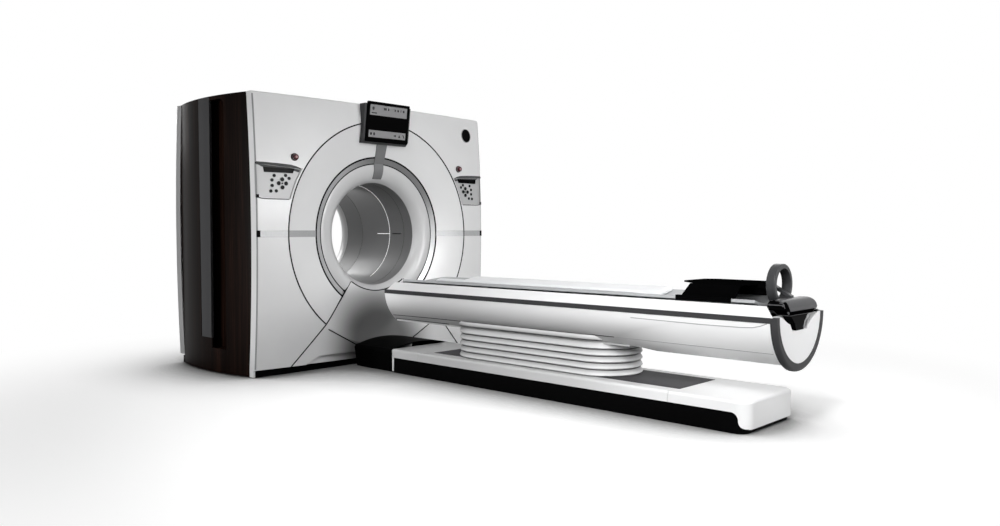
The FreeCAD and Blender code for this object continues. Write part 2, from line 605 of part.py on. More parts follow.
# ---------------------------------------------------------------- display and controls
def behind_front(gap):
    """Everything behind the front surface, with a gap in front of it."""
    return front_layer(-gap, 220)


def display_stem():
    foot, low, high, top = ISO_Z + BORE_R + STEM_ABOVE_BORE, STEM_LOW_W / 2, STEM_HIGH_W / 2, HOUSING_LOW_Z - FIT
    area = front_prism([(-low, foot), (-high, top), (high, top), (low, foot)])
    return front_layer(-STEM_PROUD, -1 - FIT).common(area)


def screen_edges():
    """Lower and upper front edge of the leaning screen, as (y, z)."""
    low, high = TOP_Z - SCREEN_BELOW, TOP_Z + SCREEN_ABOVE
    return (-crown(low - ISO_Z) - SCREEN_LOW_PROUD, low), (-crown(high - ISO_Z) - SCREEN_HIGH_PROUD, high)


def screen_line(z):
    """Depth of the screen's leaning front plane at a height."""
    (y0, z0), (y1, z1) = screen_edges()
    return y0 + (y1 - y0) * (z - z0) / (z1 - z0)


def display_housing():
    low, high, c = HOUSING_LOW_Z, TOP_Z, HOUSING_CHAMFER
    front = SCREEN_THICK + FIT
    body = side_prism([(-HOUSING_BACK, low), (screen_line(low) + front + c, low),
                       (screen_line(low + c) + front, low + c), (screen_line(high) + front, high),
                       (-HOUSING_BACK, high)], -HOUSING_HALF_W, HOUSING_HALF_W)
    return body.cut(behind_front(FIT))


def display_screen():
    """Leaning screen plate with rounded corners."""
    (y0, z0), (y1, z1) = screen_edges()
    plate = side_prism([(y0, z0), (y1, z1), (y1 + SCREEN_THICK, z1), (y0 + SCREEN_THICK, z0)],
                       -SCREEN_HALF_W, SCREEN_HALF_W)
    return rounded(plate, 8, lambda c, e: abs(abs(c.x) - SCREEN_HALF_W) < 1 and e.Length < SCREEN_THICK + 2)


def key_depth(x, z):
    """Front surface of the panel tray at a point."""
    return -crown(math.hypot(x, z - ISO_Z)) + PANEL_DEPTH


def arrow_places():
    share, z = KEY_CENTRE
    x = across(share, z)
    return {"up": (x, z + ARROW_STEP), "down": (x, z - ARROW_STEP),
            "outer": (x + ARROW_STEP, z), "inner": (x - ARROW_STEP, z)}


def small_keys():
    return [(across(share, z), z) for share, z in SMALL_KEYS]


def estop_place(side):
    """Point on the front surface under an emergency stop."""
    share, z = ESTOP_PLACE
    x = across(share, z)
    return side * x, -crown(math.hypot(x, z - ISO_Z)), z


def control_panel(side):
    """Recessed tray with its key holes, and the collar of the emergency stop."""
    tray = crown_slice(DISH_R, OUT_R, PANEL_DEPTH, PANEL_DEPTH + PANEL_THICK, -1).common(panel_area(-FIT, side))
    rim = crown_slice(DISH_R, OUT_R, -0.5, PANEL_DEPTH + PANEL_THICK, -1).common(
        panel_area(-FIT, side).cut(panel_area(-FIT - PANEL_RIM, side)))
    holes = [rod((side * x, -720, z), (side * x, -400, z), ARROW_R + FIT) for x, z in arrow_places().values()]
    holes += [rod((side * x, -720, z), (side * x, -400, z), SMALL_KEY_R + FIT) for x, z in small_keys()]
    panel = fused([tray, rim]).common(front_form(side)).cut(holes)
    x, y, z = estop_place(side)
    collar = rod((x, y - 5, z), (x, y + WALL + 6, z), ESTOP_RING_R - 3 - FIT)
    collar = collar.fuse(rod((x, y - 8, z), (x, y - 3, z), ESTOP_RING_R))
    collar = collar.cut(rod((x, y - 40, z), (x, y + 60, z), ESTOP_STEM_R + FIT))
    return [panel, collar]


def keypad(side):
    """Sealed switch mat behind the tray, with its small round keys through the tray."""
    z = KEY_CENTRE[1]
    low, high = PANEL_DEPTH + PANEL_THICK + FIT, PANEL_DEPTH + PANEL_THICK + FIT + KEYPAD_THICK
    sheet = crown_slice(DISH_R, OUT_R, low, high, -1).common(
        block(side * DISH_R / 2, side * across(KEYPAD_SHARE, z), -900, 0, z - KEYPAD_HALF_H, z + KEYPAD_HALF_H).cut(
            rod((0, -900, ISO_Z), (0, 900, ISO_Z), DISH_R + PANEL_RING_GAP + FIT)))
    holes = [rod((side * kx, -720, kz), (side * kx, -400, kz), ARROW_R + FIT) for kx, kz in arrow_places().values()]
    keys = []
    for kx, kz in small_keys():
        y = key_depth(kx, kz)
        keys.append(rod((side * kx, y - SMALL_KEY_PROUD, kz), (side * kx, y + PANEL_THICK + 2, kz), SMALL_KEY_R))
    return fused([sheet.cut(holes)] + keys)


def arrow_key(side, name):
    """Round push key with a shallow domed cap, guided by the tray and the mat."""
    x, z = arrow_places()[name]
    y = key_depth(x, z)
    body = rod((side * x, y - ARROW_PROUD, z), (side * x, y + PANEL_THICK + KEYPAD_THICK + 1, z), ARROW_R)
    return rounded(body, 1.5, lambda c, e: c.y < y - ARROW_PROUD + 0.5 and e.Length > 50)


def estop(side):
    """Mushroom-headed emergency stop that travels towards its collar."""
    x, front, z = estop_place(side)
    y = front - 8 - FIT - ESTOP_TRAVEL
    head = rod((x, y - ESTOP_HIGH, z), (x, y, z), ESTOP_R)
    head = rounded(head, 5, lambda c, e: c.y < y - ESTOP_HIGH + 0.5 and e.Length > 80)
    return head.fuse(rod((x, y - 1, z), (x, y + ESTOP_TRAVEL + 24, z), ESTOP_STEM_R)).removeSplitter()


# ---------------------------------------------------------------- gantry structure
def plinth():
    """Black welded plinth on the floor, open in the middle, with anchor holes and rear ledge."""
    whole = block(-PLINTH_HALF_W, PLINTH_HALF_W, -PLINTH_HALF_D, PLINTH_HALF_D, 0, COVER_Z - FIT)
    gap_x, gap_y = PLINTH_HALF_W - PLINTH_RAIL, PLINTH_HALF_D - PLINTH_RAIL
    rail = PLINTH_RAIL / 2
    gaps = [block(-gap_x, -rail, -gap_y, gap_y, -1, COVER_Z), block(rail, gap_x, -gap_y, gap_y, -1, COVER_Z)]
    x, y = PLINTH_HALF_W - ANCHOR_IN_X, PLINTH_HALF_D - ANCHOR_IN_Y
    holes = [rod((sx * x, sy * y, -1), (sx * x, sy * y, REAR_COVER_Z), ANCHOR_R) for sx in SIDES for sy in SIDES]
    ledge = block(-gap_x, gap_x, PLINTH_HALF_D - LEDGE, PLINTH_HALF_D, COVER_Z - 1, REAR_COVER_Z - FIT)
    return fused([whole, ledge]).cut(gaps + holes)


def gantry_frame():
    """Base plate, two posts and the stationary ring that carries the bearing."""
    low = COVER_Z
    base = block(-PLINTH_HALF_W + 60, PLINTH_HALF_W - 60, -PLINTH_HALF_D + 125, PLINTH_HALF_D - 125,
                 low, FRAME_BASE_TOP)
    ring = tube((0, FRAME_FRONT_Y, ISO_Z), (0, FRAME_REAR_Y, ISO_Z), FRAME_RING_OUT_R, FRAME_RING_IN_R)
    pieces = [base, ring]
    for side in SIDES:
        pieces.append(block(side * POST_X, side * (POST_X + POST_W), FRAME_FRONT_Y, FRAME_FRONT_Y + POST_W,
                            low, POST_TOP_Z))
        brace = front_prism([(side * (FRAME_RING_OUT_R - 60), ISO_Z - 160), (side * (POST_X + 5), ISO_Z - 260),
                             (side * (POST_X + 5), ISO_Z + 260), (side * (FRAME_RING_OUT_R - 60), ISO_Z + 160)],
                            FRAME_FRONT_Y, FRAME_REAR_Y)
        foot = front_prism([(side * 150, FRAME_BASE_TOP - 5), (side * 620, FRAME_BASE_TOP - 5),
                            (side * 420, ISO_Z - 560), (side * 230, ISO_Z - 620)], FRAME_FRONT_Y, FRAME_REAR_Y)
        pieces += [brace, foot]
        outside = side_sheet(side, -SIDE_BULGE, SIDE_BULGE + SIDE_THICK + FIT)
        pieces += [block(side * (POST_X + 10), side * (HALF_W + SIDE_BULGE), FRAME_FRONT_Y + 20,
                         FRAME_FRONT_Y + 50, z, z + 60).cut(outside) for z in SIDE_BRACKETS_Z]
    core = rod((0, FRAME_FRONT_Y - 1, ISO_Z), (0, FRAME_REAR_Y + 1, ISO_Z), FRAME_RING_IN_R)
    return fused(pieces).cut(core)


def outer_race():
    """Fixed ring of the main bearing, seated in the frame's ring."""
    ring = tube((0, FRAME_FRONT_Y - 8, ISO_Z), (0, FRAME_REAR_Y, ISO_Z), FRAME_RING_IN_R, RACE_R)
    lip = tube((0, FRAME_FRONT_Y - 8, ISO_Z), (0, FRAME_FRONT_Y, ISO_Z), FRAME_RING_IN_R + RACE_LIP, FRAME_RING_IN_R - 1)
    return fused([ring, lip])


def rotor_drum():
    """Rotating drum: plate, rim, inner flange, bearing hub, and the mass that balances the tube."""
    front, rear = ROTOR_PLATE_FRONT_Y, ROTOR_PLATE_REAR_Y
    plate = tube((0, front, ISO_Z), (0, rear, ISO_Z), ROTOR_R, ROTOR_PLATE_IN_R)
    rim = tube((0, RIM_FRONT_Y, ISO_Z), (0, front + 1, ISO_Z), ROTOR_R, ROTOR_R - RIM_THICK)
    flange = tube((0, RIM_FRONT_Y, ISO_Z), (0, front + 1, ISO_Z), ROTOR_PLATE_IN_R + 10, ROTOR_PLATE_IN_R)
    hub = tube((0, rear - 1, ISO_Z), (0, HUB_REAR_Y, ISO_Z), RACE_R - RACE_PLAY, HUB_IN_R)
    windows = []
    for angle in (45, 135, 225, 315):
        a = math.radians(angle)
        x, z = 690 * math.cos(a), ISO_Z + 690 * math.sin(a)
        windows.append(rod((x, front - 5, z), (x, rear + 5, z), 95))
    a = math.radians(BALANCE_HALF_ANGLE)

    def at(r, angle):
        return (r * math.sin(angle), ISO_Z - r * math.cos(angle))
    low, high = BALANCE_IN_R, ROTOR_R - 1
    balance = front_prism([at(low, -a), (at(low, 0), at(low, a)), at(high, a), (at(high, 0), at(high, -a))],
                          BALANCE_FRONT_Y, front + 1)
    beam = block(-110, 110, RIM_FRONT_Y - 5, 90, ISO_Z + 400, ISO_Z + 445)
    fan = block(-330, 330, -DETECTOR_HALF_DEPTH, DETECTOR_HALF_DEPTH, ISO_Z - 445, ISO_Z - 260)
    return fused([plate, rim, flange, hub, balance]).cut(windows + [beam, fan])


def slip_ring():
    """Ring of tracks on the end of the hub that brings power to the rotor."""
    front, rear = HUB_REAR_Y + FIT, HUB_REAR_Y + FIT + SLIP_RING_THICK
    ring = tube((0, front, ISO_Z), (0, rear, ISO_Z), SLIP_RING_OUT_R, SLIP_RING_IN_R)
    pitch = (SLIP_RING_OUT_R - SLIP_RING_IN_R) / (SLIP_TRACKS + 1)
    tracks = [tube((0, rear - 4, ISO_Z), (0, rear + 1, ISO_Z), SLIP_RING_IN_R + pitch * (i + 1) + 5,
                   SLIP_RING_IN_R + pitch * (i + 1) - 5) for i in range(SLIP_TRACKS)]
    return ring.cut(tracks)


def xray_tube():
    """Tube housing across the rotor's plate, with end bells and its bracket."""
    z = ISO_Z + TUBE_DIST
    rear = ROTOR_PLATE_FRONT_Y - FIT
    body = rod((0, -TUBE_HALF_LEN + 26, z), (0, TUBE_HALF_LEN - 26, z), TUBE_R)
    bells = [Part.makeCone(TUBE_R - 6, TUBE_R - 34, 26, V(0, s * (TUBE_HALF_LEN - 26), z), V(0, s, 0)) for s in SIDES]
    bracket = block(-TUBE_R - 20, TUBE_R + 20, TUBE_HALF_LEN - 60, rear, z - 30, z + 30)
    port = block(-40, 40, -45, 45, z - TUBE_R - 7, z - TUBE_R + 12)
    return fused([body, bracket, port] + bells)


def collimator():
    """Tapered box under the tube with the slit that shapes the x-ray fan."""
    top, low = ISO_Z + COLLIMATOR_TOP - FIT, ISO_Z + COLLIMATOR_LOW
    box = front_prism([(-70, top), (70, top), (150, low), (-150, low)], -70, 70)
    slit = front_prism([(-30, top + 1), (30, top + 1), (105, low - 1), (-105, low - 1)], -22, 22)
    arm = block(-60, 60, 69, ROTOR_PLATE_FRONT_Y - FIT, low + 20, top - 20)
    return fused([box, arm]).cut(slit)


def detector_array():
    """Arc of detector modules opposite the tube, on two brackets."""
    fz = ISO_Z + COLLIMATOR_TOP + 20
    a = math.radians(DETECTOR_HALF_ANGLE)

    def at(r, angle):
        return (r * math.sin(angle), fz - r * math.cos(angle))
    inner, outer = DETECTOR_ARC_R, DETECTOR_ARC_R + DETECTOR_THICK
    half = DETECTOR_HALF_DEPTH
    arc = front_prism([at(inner, -a), (at(inner, 0), at(inner, a)), at(outer, a), (at(outer, 0), at(outer, -a))],
                      -half, half)
    grid = [front_prism([at(inner - 1, t - 0.006), at(inner - 1, t + 0.006), at(inner + 6, t + 0.006),
                         at(inner + 6, t - 0.006)], -half - 1, half + 1)
            for t in (a * (i - 4) / 4.5 for i in range(9))]
    arms = [block(x - 60, x + 60, half - 1, ROTOR_PLATE_FRONT_Y - FIT, fz - math.sqrt(outer**2 - x**2) + 12,
                  fz - math.sqrt(inner**2 - x**2) - 12) for x in (-330, 330)]
    return fused([arc.cut(grid)] + arms)


def generator():
    """High-voltage tank and inverter on opposite sides of the rotor, with cooling fins."""
    boxes = []
    for side in SIDES:
        x0, x1 = side * GENERATOR_IN, side * GENERATOR_OUT
        h = GENERATOR_HALF_H
        body = block(x0, x1, -120, ROTOR_PLATE_FRONT_Y - FIT, ISO_Z - h, ISO_Z + h)
        grooves = [block(x0, x1, -121, -100, ISO_Z + z - 8, ISO_Z + z + 8) for z in range(-120, 121, 40)]
        boxes.append(body.cut(grooves))
    return boxes


def drive_motor():
    """Rotor's motor on its foot, with the shaft through the pulley's plane."""
    end = BELT_FRONT_Y - 8
    body = rod((PULLEY_X, end - MOTOR_LEN, PULLEY_Z), (PULLEY_X, end, PULLEY_Z), MOTOR_R)
    foot = block(PULLEY_X - 60, PULLEY_X + 60, end - MOTOR_LEN + 20, end - 20, FRAME_BASE_TOP, PULLEY_Z - MOTOR_R + 20)
    shaft = rod((PULLEY_X, end - 1, PULLEY_Z), (PULLEY_X, BELT_REAR_Y + 6, PULLEY_Z), SHAFT_R)
    return fused([body, foot, shaft])


def drive_pulley():
    """Motor pulley with flanges either side of the belt."""
    y0, y1 = BELT_FRONT_Y - 1, BELT_REAR_Y + 1
    body = rod((PULLEY_X, y0, PULLEY_Z), (PULLEY_X, y1, PULLEY_Z), PULLEY_R)
    flanges = [rod((PULLEY_X, y - 2, PULLEY_Z), (PULLEY_X, y + 2, PULLEY_Z), PULLEY_R + 8) for y in (y0 - 2, y1 + 2)]
    return fused([body] + flanges).cut(rod((PULLEY_X, 0, PULLEY_Z), (PULLEY_X, 400, PULLEY_Z), SHAFT_R + RACE_PLAY))


def belt_loop(extra):
    """Face inside an open belt round the rotor and the motor pulley, grown by extra."""
    a, ra = V(0, BELT_FRONT_Y, ISO_Z), ROTOR_R + FIT + extra
    b, rb = V(PULLEY_X, BELT_FRONT_Y, PULLEY_Z), PULLEY_R + FIT + extra
    along = (b - a)
    dist = along.Length
    along.normalize()
    across = V(-along.z, 0, along.x)
    cos_t = (ra - rb) / dist
    sin_t = math.sqrt(1 - cos_t**2)
    points = []
    for s in SIDES:
        radial = along * cos_t + across * (s * sin_t)
        points.append((a + radial * ra, b + radial * rb))
    (a0, b0), (a1, b1) = points
    edges = [Part.Arc(a0, a - along * ra, a1).toShape(), Part.LineSegment(a1, b1).toShape(),
             Part.Arc(b1, b + along * rb, b0).toShape(), Part.LineSegment(b0, a0).toShape()]
    return Part.Face(Part.Wire(edges))


def drive_belt():
    width = V(0, BELT_REAR_Y - BELT_FRONT_Y, 0)
    return belt_loop(BELT_THICK).extrude(width).cut(belt_loop(0).extrude(width))


# ---------------------------------------------------------------- table base
def square_tube(y, outer, wall, z0, z1):
    half, inner = outer / 2, outer / 2 - wall
    return block(-half, half, y - half, y + half, z0, z1).cut(block(-inner, inner, y - inner, y + inner, z0 - 1, z1 + 1))


def column_width(stage):
    """Outer width of a column stage: each one runs inside the one before."""
    return COLUMN_W - 2 * stage * (COLUMN_WALL + COLUMN_PLAY)


def base_frame():
    """Black base trough with both columns' outer tubes, the covers' bulkheads and anchor holes."""
    x = BASE_HALF_W - BASE_INSET
    near, far = BASE_NEAR_Y + 2 * BASE_INSET, BASE_FAR_Y - BASE_INSET
    outer = rounded(block(-x, x, near, far, 0, BASE_SKIRT_Z - FIT), BASE_ROUND - BASE_INSET,
                    lambda c, e: abs(c.y - near) < 1 and e.Length < BASE_SKIRT_Z + 1 and abs(abs(c.x) - x) < 1)
    wall = COLUMN_WALL
    outer = outer.cut(block(-x + wall, x - wall, near + BASE_ROUND, far - wall, BASE_PLATE, BASE_SKIRT_Z))
    pieces = [outer]
    for y in COLUMN_Y:
        pieces.append(square_tube(y, COLUMN_W, COLUMN_WALL, BASE_PLATE - 1, OUTER_TOP_Z))
        pieces += [block(-x + 1, x - 1, y + s * (COLUMN_W / 2 - 4) - 4, y + s * (COLUMN_W / 2 - 4) + 4,
                         BASE_PLATE - 1, BASE_SKIRT_Z - 15).cut(
                             block(-COLUMN_W / 2 + 4, COLUMN_W / 2 - 4, y - 200, y + 200, 0, 200)) for s in SIDES]
    for y, top in ((END_SEAM_Y - 180, BASE_TOP_Z - THIN), (END_SEAM_Y + 60, BASE_TOP_Z - WALL),
                   (FRONT_SEAM_Y - 120, BASE_TOP_Z - WALL), (FRONT_SEAM_Y + 160, BASE_TOP_Z - WALL)):
        pieces.append(front_prism([(-x + 1, BASE_PLATE - 1), (-x + 1, BASE_SKIRT_Z - FIT), (-x + 24, top - FIT),
                                   (x - 24, top - FIT), (x - 1, BASE_SKIRT_Z - FIT), (x - 1, BASE_PLATE - 1)],
                                  y - 4, y + 4))
    holes = [rod((s * TABLE_ANCHOR_X, y, -1), (s * TABLE_ANCHOR_X, y, BASE_PLATE + 1), TABLE_ANCHOR_R)
             for s in SIDES for y in (TABLE_ANCHOR_NEAR_Y, TABLE_ANCHOR_FAR_Y)]
    return fused(pieces).cut(holes)


def lift_well(z0, z1):
    """Opening in the base's top for the lift columns, hidden by the bellows."""
    return block(-WELL_HALF_W, WELL_HALF_W, COLUMN_Y[1] - WELL_MARGIN, COLUMN_Y[0] + WELL_MARGIN, z0, z1)


def mat_recess():
    return block(-MAT_HALF_W - FIT, MAT_HALF_W + FIT, MAT_NEAR_Y - FIT, MAT_FAR_Y + FIT,
                 BASE_TOP_Z - MAT_THICK + 1 - FIT, BASE_TOP_Z + 10)


def base_cover():
    """White top of the base, in two lengths, with the recess for the mat."""
    pieces = []
    for near, far in ((END_SEAM_Y + SEAM / 2, FRONT_SEAM_Y - SEAM / 2), (FRONT_SEAM_Y + SEAM / 2, BASE_FAR_Y)):
        outer = rounded(block(-BASE_HALF_W, BASE_HALF_W, near, far, BASE_SKIRT_Z, BASE_TOP_Z), BASE_TOP_ROUND,
                        lambda c, e: abs(c.z - BASE_TOP_Z) < 1 and abs(abs(c.x) - BASE_HALF_W) < 1)
        inner = block(-BASE_HALF_W + THIN, BASE_HALF_W - THIN, near - 1, far - THIN * (far == BASE_FAR_Y) + 1 - (
            far == BASE_FAR_Y), BASE_SKIRT_Z - 1, BASE_TOP_Z - WALL)
        pieces.append(outer.cut([inner, lift_well(0, BASE_TOP_Z + 1)]))
    return [piece.cut(mat_recess()) for piece in pieces]


def base_mat():
    return block(-MAT_HALF_W, MAT_HALF_W, MAT_NEAR_Y, MAT_FAR_Y, BASE_TOP_Z - MAT_THICK + 1,
                 BASE_TOP_Z + 1).cut(lift_well(0, BASE_TOP_Z + 5))


def end_cover():
    """Rounded white end of the base, whose lower edge sweeps down to the floor."""
    def form(inset):
        near = BASE_NEAR_Y + inset
        far = END_SEAM_Y - SEAM / 2 + (1 if inset else 0)
        x = BASE_HALF_W - inset
        body = block(-x, x, near, far, END_LOW_Z - (1 if inset else 0), BASE_TOP_Z - inset)
        body = rounded(body, BASE_ROUND - inset,
                       lambda c, e: abs(c.y - near) < 1 and abs(abs(c.x) - x) < 1 and e.Length < BASE_TOP_Z)
        return rounded(body, BASE_TOP_ROUND - inset,
                       lambda c, e: abs(c.z - (BASE_TOP_Z - inset)) < 1 and c.y < far - 1)
    shell = form(0).cut(form(THIN))
    y, run, high, low = END_CURVE_Y, END_CURVE_RUN, BASE_SKIRT_Z, END_LOW_Z + 3
    mid = (high + low) / 2
    sweep = side_prism([(END_SEAM_Y + 10, high), (y, high),
                        ((y - 0.36 * run, high - 0.14 * (high - low)), (y - run / 2, mid)),
                        ((y - 0.64 * run, low + 0.14 * (high - low)), (y - run, low)),
                        (y - run, 0), (END_SEAM_Y + 10, 0)], -BASE_HALF_W - 1, BASE_HALF_W + 1)
    return shell.cut([sweep, mat_recess()])


def docking_skirt():
    """Black arched cover between the table's base and the gantry."""
    def section(inset):
        x, foot, side_z, top = DOCK_HALF_W - inset, DOCK_FOOT_W - inset, DOCK_SIDE_Z, DOCK_CROWN_Z - inset
        return [(-foot, 1), (-x, side_z - 20), ((-x + 10, side_z - 4), (-x + 30, side_z + 2 - inset)),
                ((0, top), (x - 30, side_z + 2 - inset)), ((x - 10, side_z - 4), (x, side_z - 20)), (foot, 1)]
    near, far = BASE_FAR_Y + FIT, -500.0
    shell = front_prism(section(0), near, far).cut(front_prism(
        [(p[0], p[1] - 2) if p in ((-DOCK_FOOT_W + DOCK_WALL, 1), (DOCK_FOOT_W - DOCK_WALL, 1)) else p
         for p in section(DOCK_WALL)], near - 1, far + 1))
    return shell.cut(turned(lower_line(-FIT) + [(OUT_R, 0), (LOWER_LIP_R, 0)]))


def stadium(half_w, near, far, z):
    """Closed outline with round ends at a height."""
    y0, y1 = near + half_w, far - half_w
    edges = [Part.LineSegment(V(-half_w, y0, z), V(-half_w, y1, z)).toShape(),
             Part.Arc(V(-half_w, y1, z), V(0, far, z), V(half_w, y1, z)).toShape(),
             Part.LineSegment(V(half_w, y1, z), V(half_w, y0, z)).toShape(),
             Part.Arc(V(half_w, y0, z), V(0, near, z), V(-half_w, y0, z)).toShape()]
    return Part.Wire(edges)


def bellows():
    """Pleated cover round the lift columns, with a thick rim round the table's underside."""
    low, rim = BASE_TOP_Z + FIT, BODY_FLAT_Z + BELLOWS_RIM_ABOVE
    step = (rim - low) / (BELLOWS_FOLDS - 1 + BELLOWS_TOP_FOLD)
    ridge, valley = BELLOWS_RIM_PROUD, BELLOWS_RIM_PROUD + BELLOWS_FOLD_DEPTH

    def stack(levels, inset):
        """Solid through closed outlines, each at a height and so far in from the rim."""
        return Part.makeLoft([stadium(BELLOWS_HALF_W - d - inset, BELLOWS_NEAR_Y + d + inset,
                                      BELLOWS_FAR_Y - d - inset, z) for z, d in levels], True, True)
    folds = []
    for i in range(BELLOWS_FOLDS):
        folds += [(low + i * step, valley), (low + (i + BELLOWS_RIDGE) * step, ridge)]
    folds.append((rim, valley))
    top = rim + BELLOWS_RIM_H
    whole = stack(folds + [(rim + 2, 0), (top - 4, 0), (top, 4)], 0)
    near, far = BELLOWS_NEAR_Y - 1, BELLOWS_FAR_Y + 1
    body = half_round(TABLE_R + FIT, near, far).common(
        block(-TABLE_R - 1, TABLE_R + 1, near, far, BODY_FLAT_Z - FIT, TABLE_Z))
    tray = block(-TRAY_HALF_W - FIT, TRAY_HALF_W + FIT, near, far, BODY_FLAT_Z - TRAY_THICK - FIT, BODY_FLAT_Z)
    mat = block(-MAT_HALF_W - FIT, MAT_HALF_W + FIT, near, far, low - 1, BASE_TOP_Z + 1 + FIT)
    return whole.cut([stack(folds, BELLOWS_WALL), body, tray, mat])


# ---------------------------------------------------------------- lift and table top
def middle_tubes():
    return [square_tube(y, column_width(1), COLUMN_WALL, MIDDLE_LOW_Z, MIDDLE_TOP_Z) for y in COLUMN_Y]


def subframe():
    """Lift plate with both inner tubes, two long rails and their cross members."""
    top = RAIL_LOW_Z
    plate_low = BODY_FLAT_Z + BODY_WALL + FIT
    pieces = [block(-RAIL_X - RAIL_W, RAIL_X + RAIL_W, COLUMN_Y[1] - 140, COLUMN_Y[0] + 140, plate_low, top)]
    for y in COLUMN_Y:
        pieces.append(square_tube(y, column_width(2), COLUMN_WALL, INNER_LOW_Z, plate_low + 2))
    for side in SIDES:
        x0, x1 = side * RAIL_X, side * (RAIL_X + RAIL_W)
        web = side * (RAIL_X + RAIL_SHEET)
        pieces.append(block(x0, web, RAIL_NEAR_Y, RAIL_FAR_Y, top - 1, RAIL_TOP_Z))
        pieces += [block(x0, x1, RAIL_NEAR_Y, RAIL_FAR_Y, z, z + RAIL_SHEET)
                   for z in (RAIL_TOP_Z - RAIL_SHEET, top - 1)]
    for y in CROSS_MEMBERS_Y:
        pieces.append(block(-RAIL_X - 1, RAIL_X + 1, y, y + CROSS_MEMBER_W, top - 1, top + CROSS_MEMBER_H))
    bearing_z = CRADLE_LOW_Z - FIT - ROLLER_R
    for side in SIDES:
        x = side * (ROLLER_HALF_W + 3)
        pieces.append(block(x, side * (RAIL_X + 4), ROLLER_Y - 14, ROLLER_Y + 14, bearing_z - 40, bearing_z + 10))
    frame = fused(pieces)
    return frame.cut(rod((-RAIL_X - 20, ROLLER_Y, bearing_z), (RAIL_X + 20, ROLLER_Y, bearing_z), 8 + RACE_PLAY))


def half_round(r, near, far, top=TABLE_Z):
    """Half-cylinder of the table's body, flat side up."""
    return rod((0, near, TABLE_Z), (0, far, TABLE_Z), r).common(block(-r, r, near, far, 0, top))


def body_profile(lift, near, far, top):
    """Side outline of the table's body, its underside raised by lift."""
    return side_prism([(far, BODY_FLAT_Z + lift), (BODY_STEP_Y, BODY_FLAT_Z + lift),
                       (BODY_SLOPE_Y, BODY_SLOPE_Z + lift), (near, BODY_SLOPE_Z + lift),
                       (near, top), (far, top)], -TABLE_R - 10, TABLE_R + 10)


def table_housing():
    """White trough under the deck, with a flat underside over the bellows and its tray."""
    near, far = TABLE_NEAR_Y + RIM_DEEP + FIT, TABLE_FAR_Y
    top = TABLE_Z - BAND_H - FIT
    outer = half_round(TABLE_R, near, far, top).common(body_profile(0, near, far, top))
    inner = half_round(TABLE_R - BODY_WALL, near - 1, far - BODY_WALL, top + 1).common(
        body_profile(BODY_WALL, near - 1, far - BODY_WALL, top + 1))
    tray = block(-TRAY_HALF_W, TRAY_HALF_W, BODY_STEP_Y + 20, TABLE_FAR_Y - 12, BODY_FLAT_Z - TRAY_THICK, BODY_FLAT_Z)
    wells = [block(-COLUMN_W / 2, COLUMN_W / 2, y - COLUMN_W / 2, y + COLUMN_W / 2, BODY_FLAT_Z - 20, BODY_FLAT_Z + 20)
             for y in COLUMN_Y]
    return fused([outer.cut(inner), tray]).cut(wells)


def edge_band():
    """Dark bands along both edges and the dark rim round the near end."""
    near = TABLE_NEAR_Y + RIM_DEEP + FIT
    pieces = []
    for side in SIDES:
        x1 = TABLE_R + BAND_PROUD
        pieces.append(block(side * (x1 - BAND_THICK), side * x1, near, TABLE_FAR_Y, TABLE_Z - BAND_H, TABLE_Z))
    outer, inner = TABLE_R + BAND_PROUD, TABLE_R - RIM_WIDE
    rim = half_round(outer, TABLE_NEAR_Y, TABLE_NEAR_Y + RIM_DEEP).cut(
        half_round(inner, TABLE_NEAR_Y - 1, TABLE_NEAR_Y + RIM_DEEP + 1, TABLE_Z + 1))
    rim = rounded(rim, RIM_ROUND, lambda c, e: abs(c.y - TABLE_NEAR_Y) < 1 and e.Length > 3 * outer)
    return pieces + [rim]


def end_panel():
    """White end panel with the notch, and the dark box let into the notch."""
    near = TABLE_NEAR_Y + PANEL_SET_BACK
    r = TABLE_R - RIM_WIDE - FIT
    panel = half_round(r, near, near + THIN)

    def outline(grow, top):
        wide, foot, mid, low = (w + grow for w in (NOTCH_TOP_W, NOTCH_STEP_W, NOTCH_MID_W, NOTCH_LOW_W))
        step_z, low_z = NOTCH_STEP_Z - grow, NOTCH_LOW_Z - grow
        return [(-wide, top), (wide, top), (foot, step_z), (mid, step_z), (low, low_z),
                (-low, low_z), (-mid, step_z), (-foot, step_z)]
    notch = front_prism(outline(0, TABLE_Z + 1), near - 50, near + 200)
    box = front_prism(outline(6, TABLE_Z), near + THIN + FIT, near + NOTCH_DEEP)
    hollow = front_prism(outline(0, TABLE_Z + 1), near, near + NOTCH_DEEP - 5)
    under_handle = block(-TABLE_R, TABLE_R, near, near + 2 * NOTCH_DEEP, 0, HANDLE_LOW_Z - 2)
    box = box.cut(hollow).common(under_handle).common(half_round(TABLE_R - BODY_WALL - FIT, near, near + 200))
    return [panel.cut(notch), box]


def deck_covers():
    """Sloping white covers along both sides of the cradle, each in two lengths."""
    pieces = []
    for side in SIDES:
        outline = [(side * TABLE_R, TABLE_Z + FIT), (side * DECK_IN_X, DECK_IN_Z),
                   (side * DECK_IN_X, DECK_IN_Z - 22), (side * (DECK_IN_X + DECK_THICK), DECK_IN_Z - 22),
                   (side * (DECK_IN_X + DECK_THICK), DECK_IN_Z - DECK_THICK - 3), (side * (TABLE_R - 12), TABLE_Z + FIT)]
        whole = front_prism(outline, DECK_NEAR_OUT_Y, DECK_FAR_Y)
        end = plan_prism([(side * TABLE_R * 1.2, DECK_NEAR_OUT_Y - 30), (side * TABLE_R, DECK_NEAR_OUT_Y),
                          (side * DECK_IN_X, DECK_NEAR_IN_Y), (side * 100, DECK_NEAR_IN_Y),
                          (side * 100, DECK_NEAR_OUT_Y - 30)], 500, 700)
        seam = block(side * 100, side * 400, DECK_SEAM_Y - SEAM / 2, DECK_SEAM_Y + SEAM / 2, 500, 700)
        pieces += whole.cut([end, seam]).Solids
    return pieces


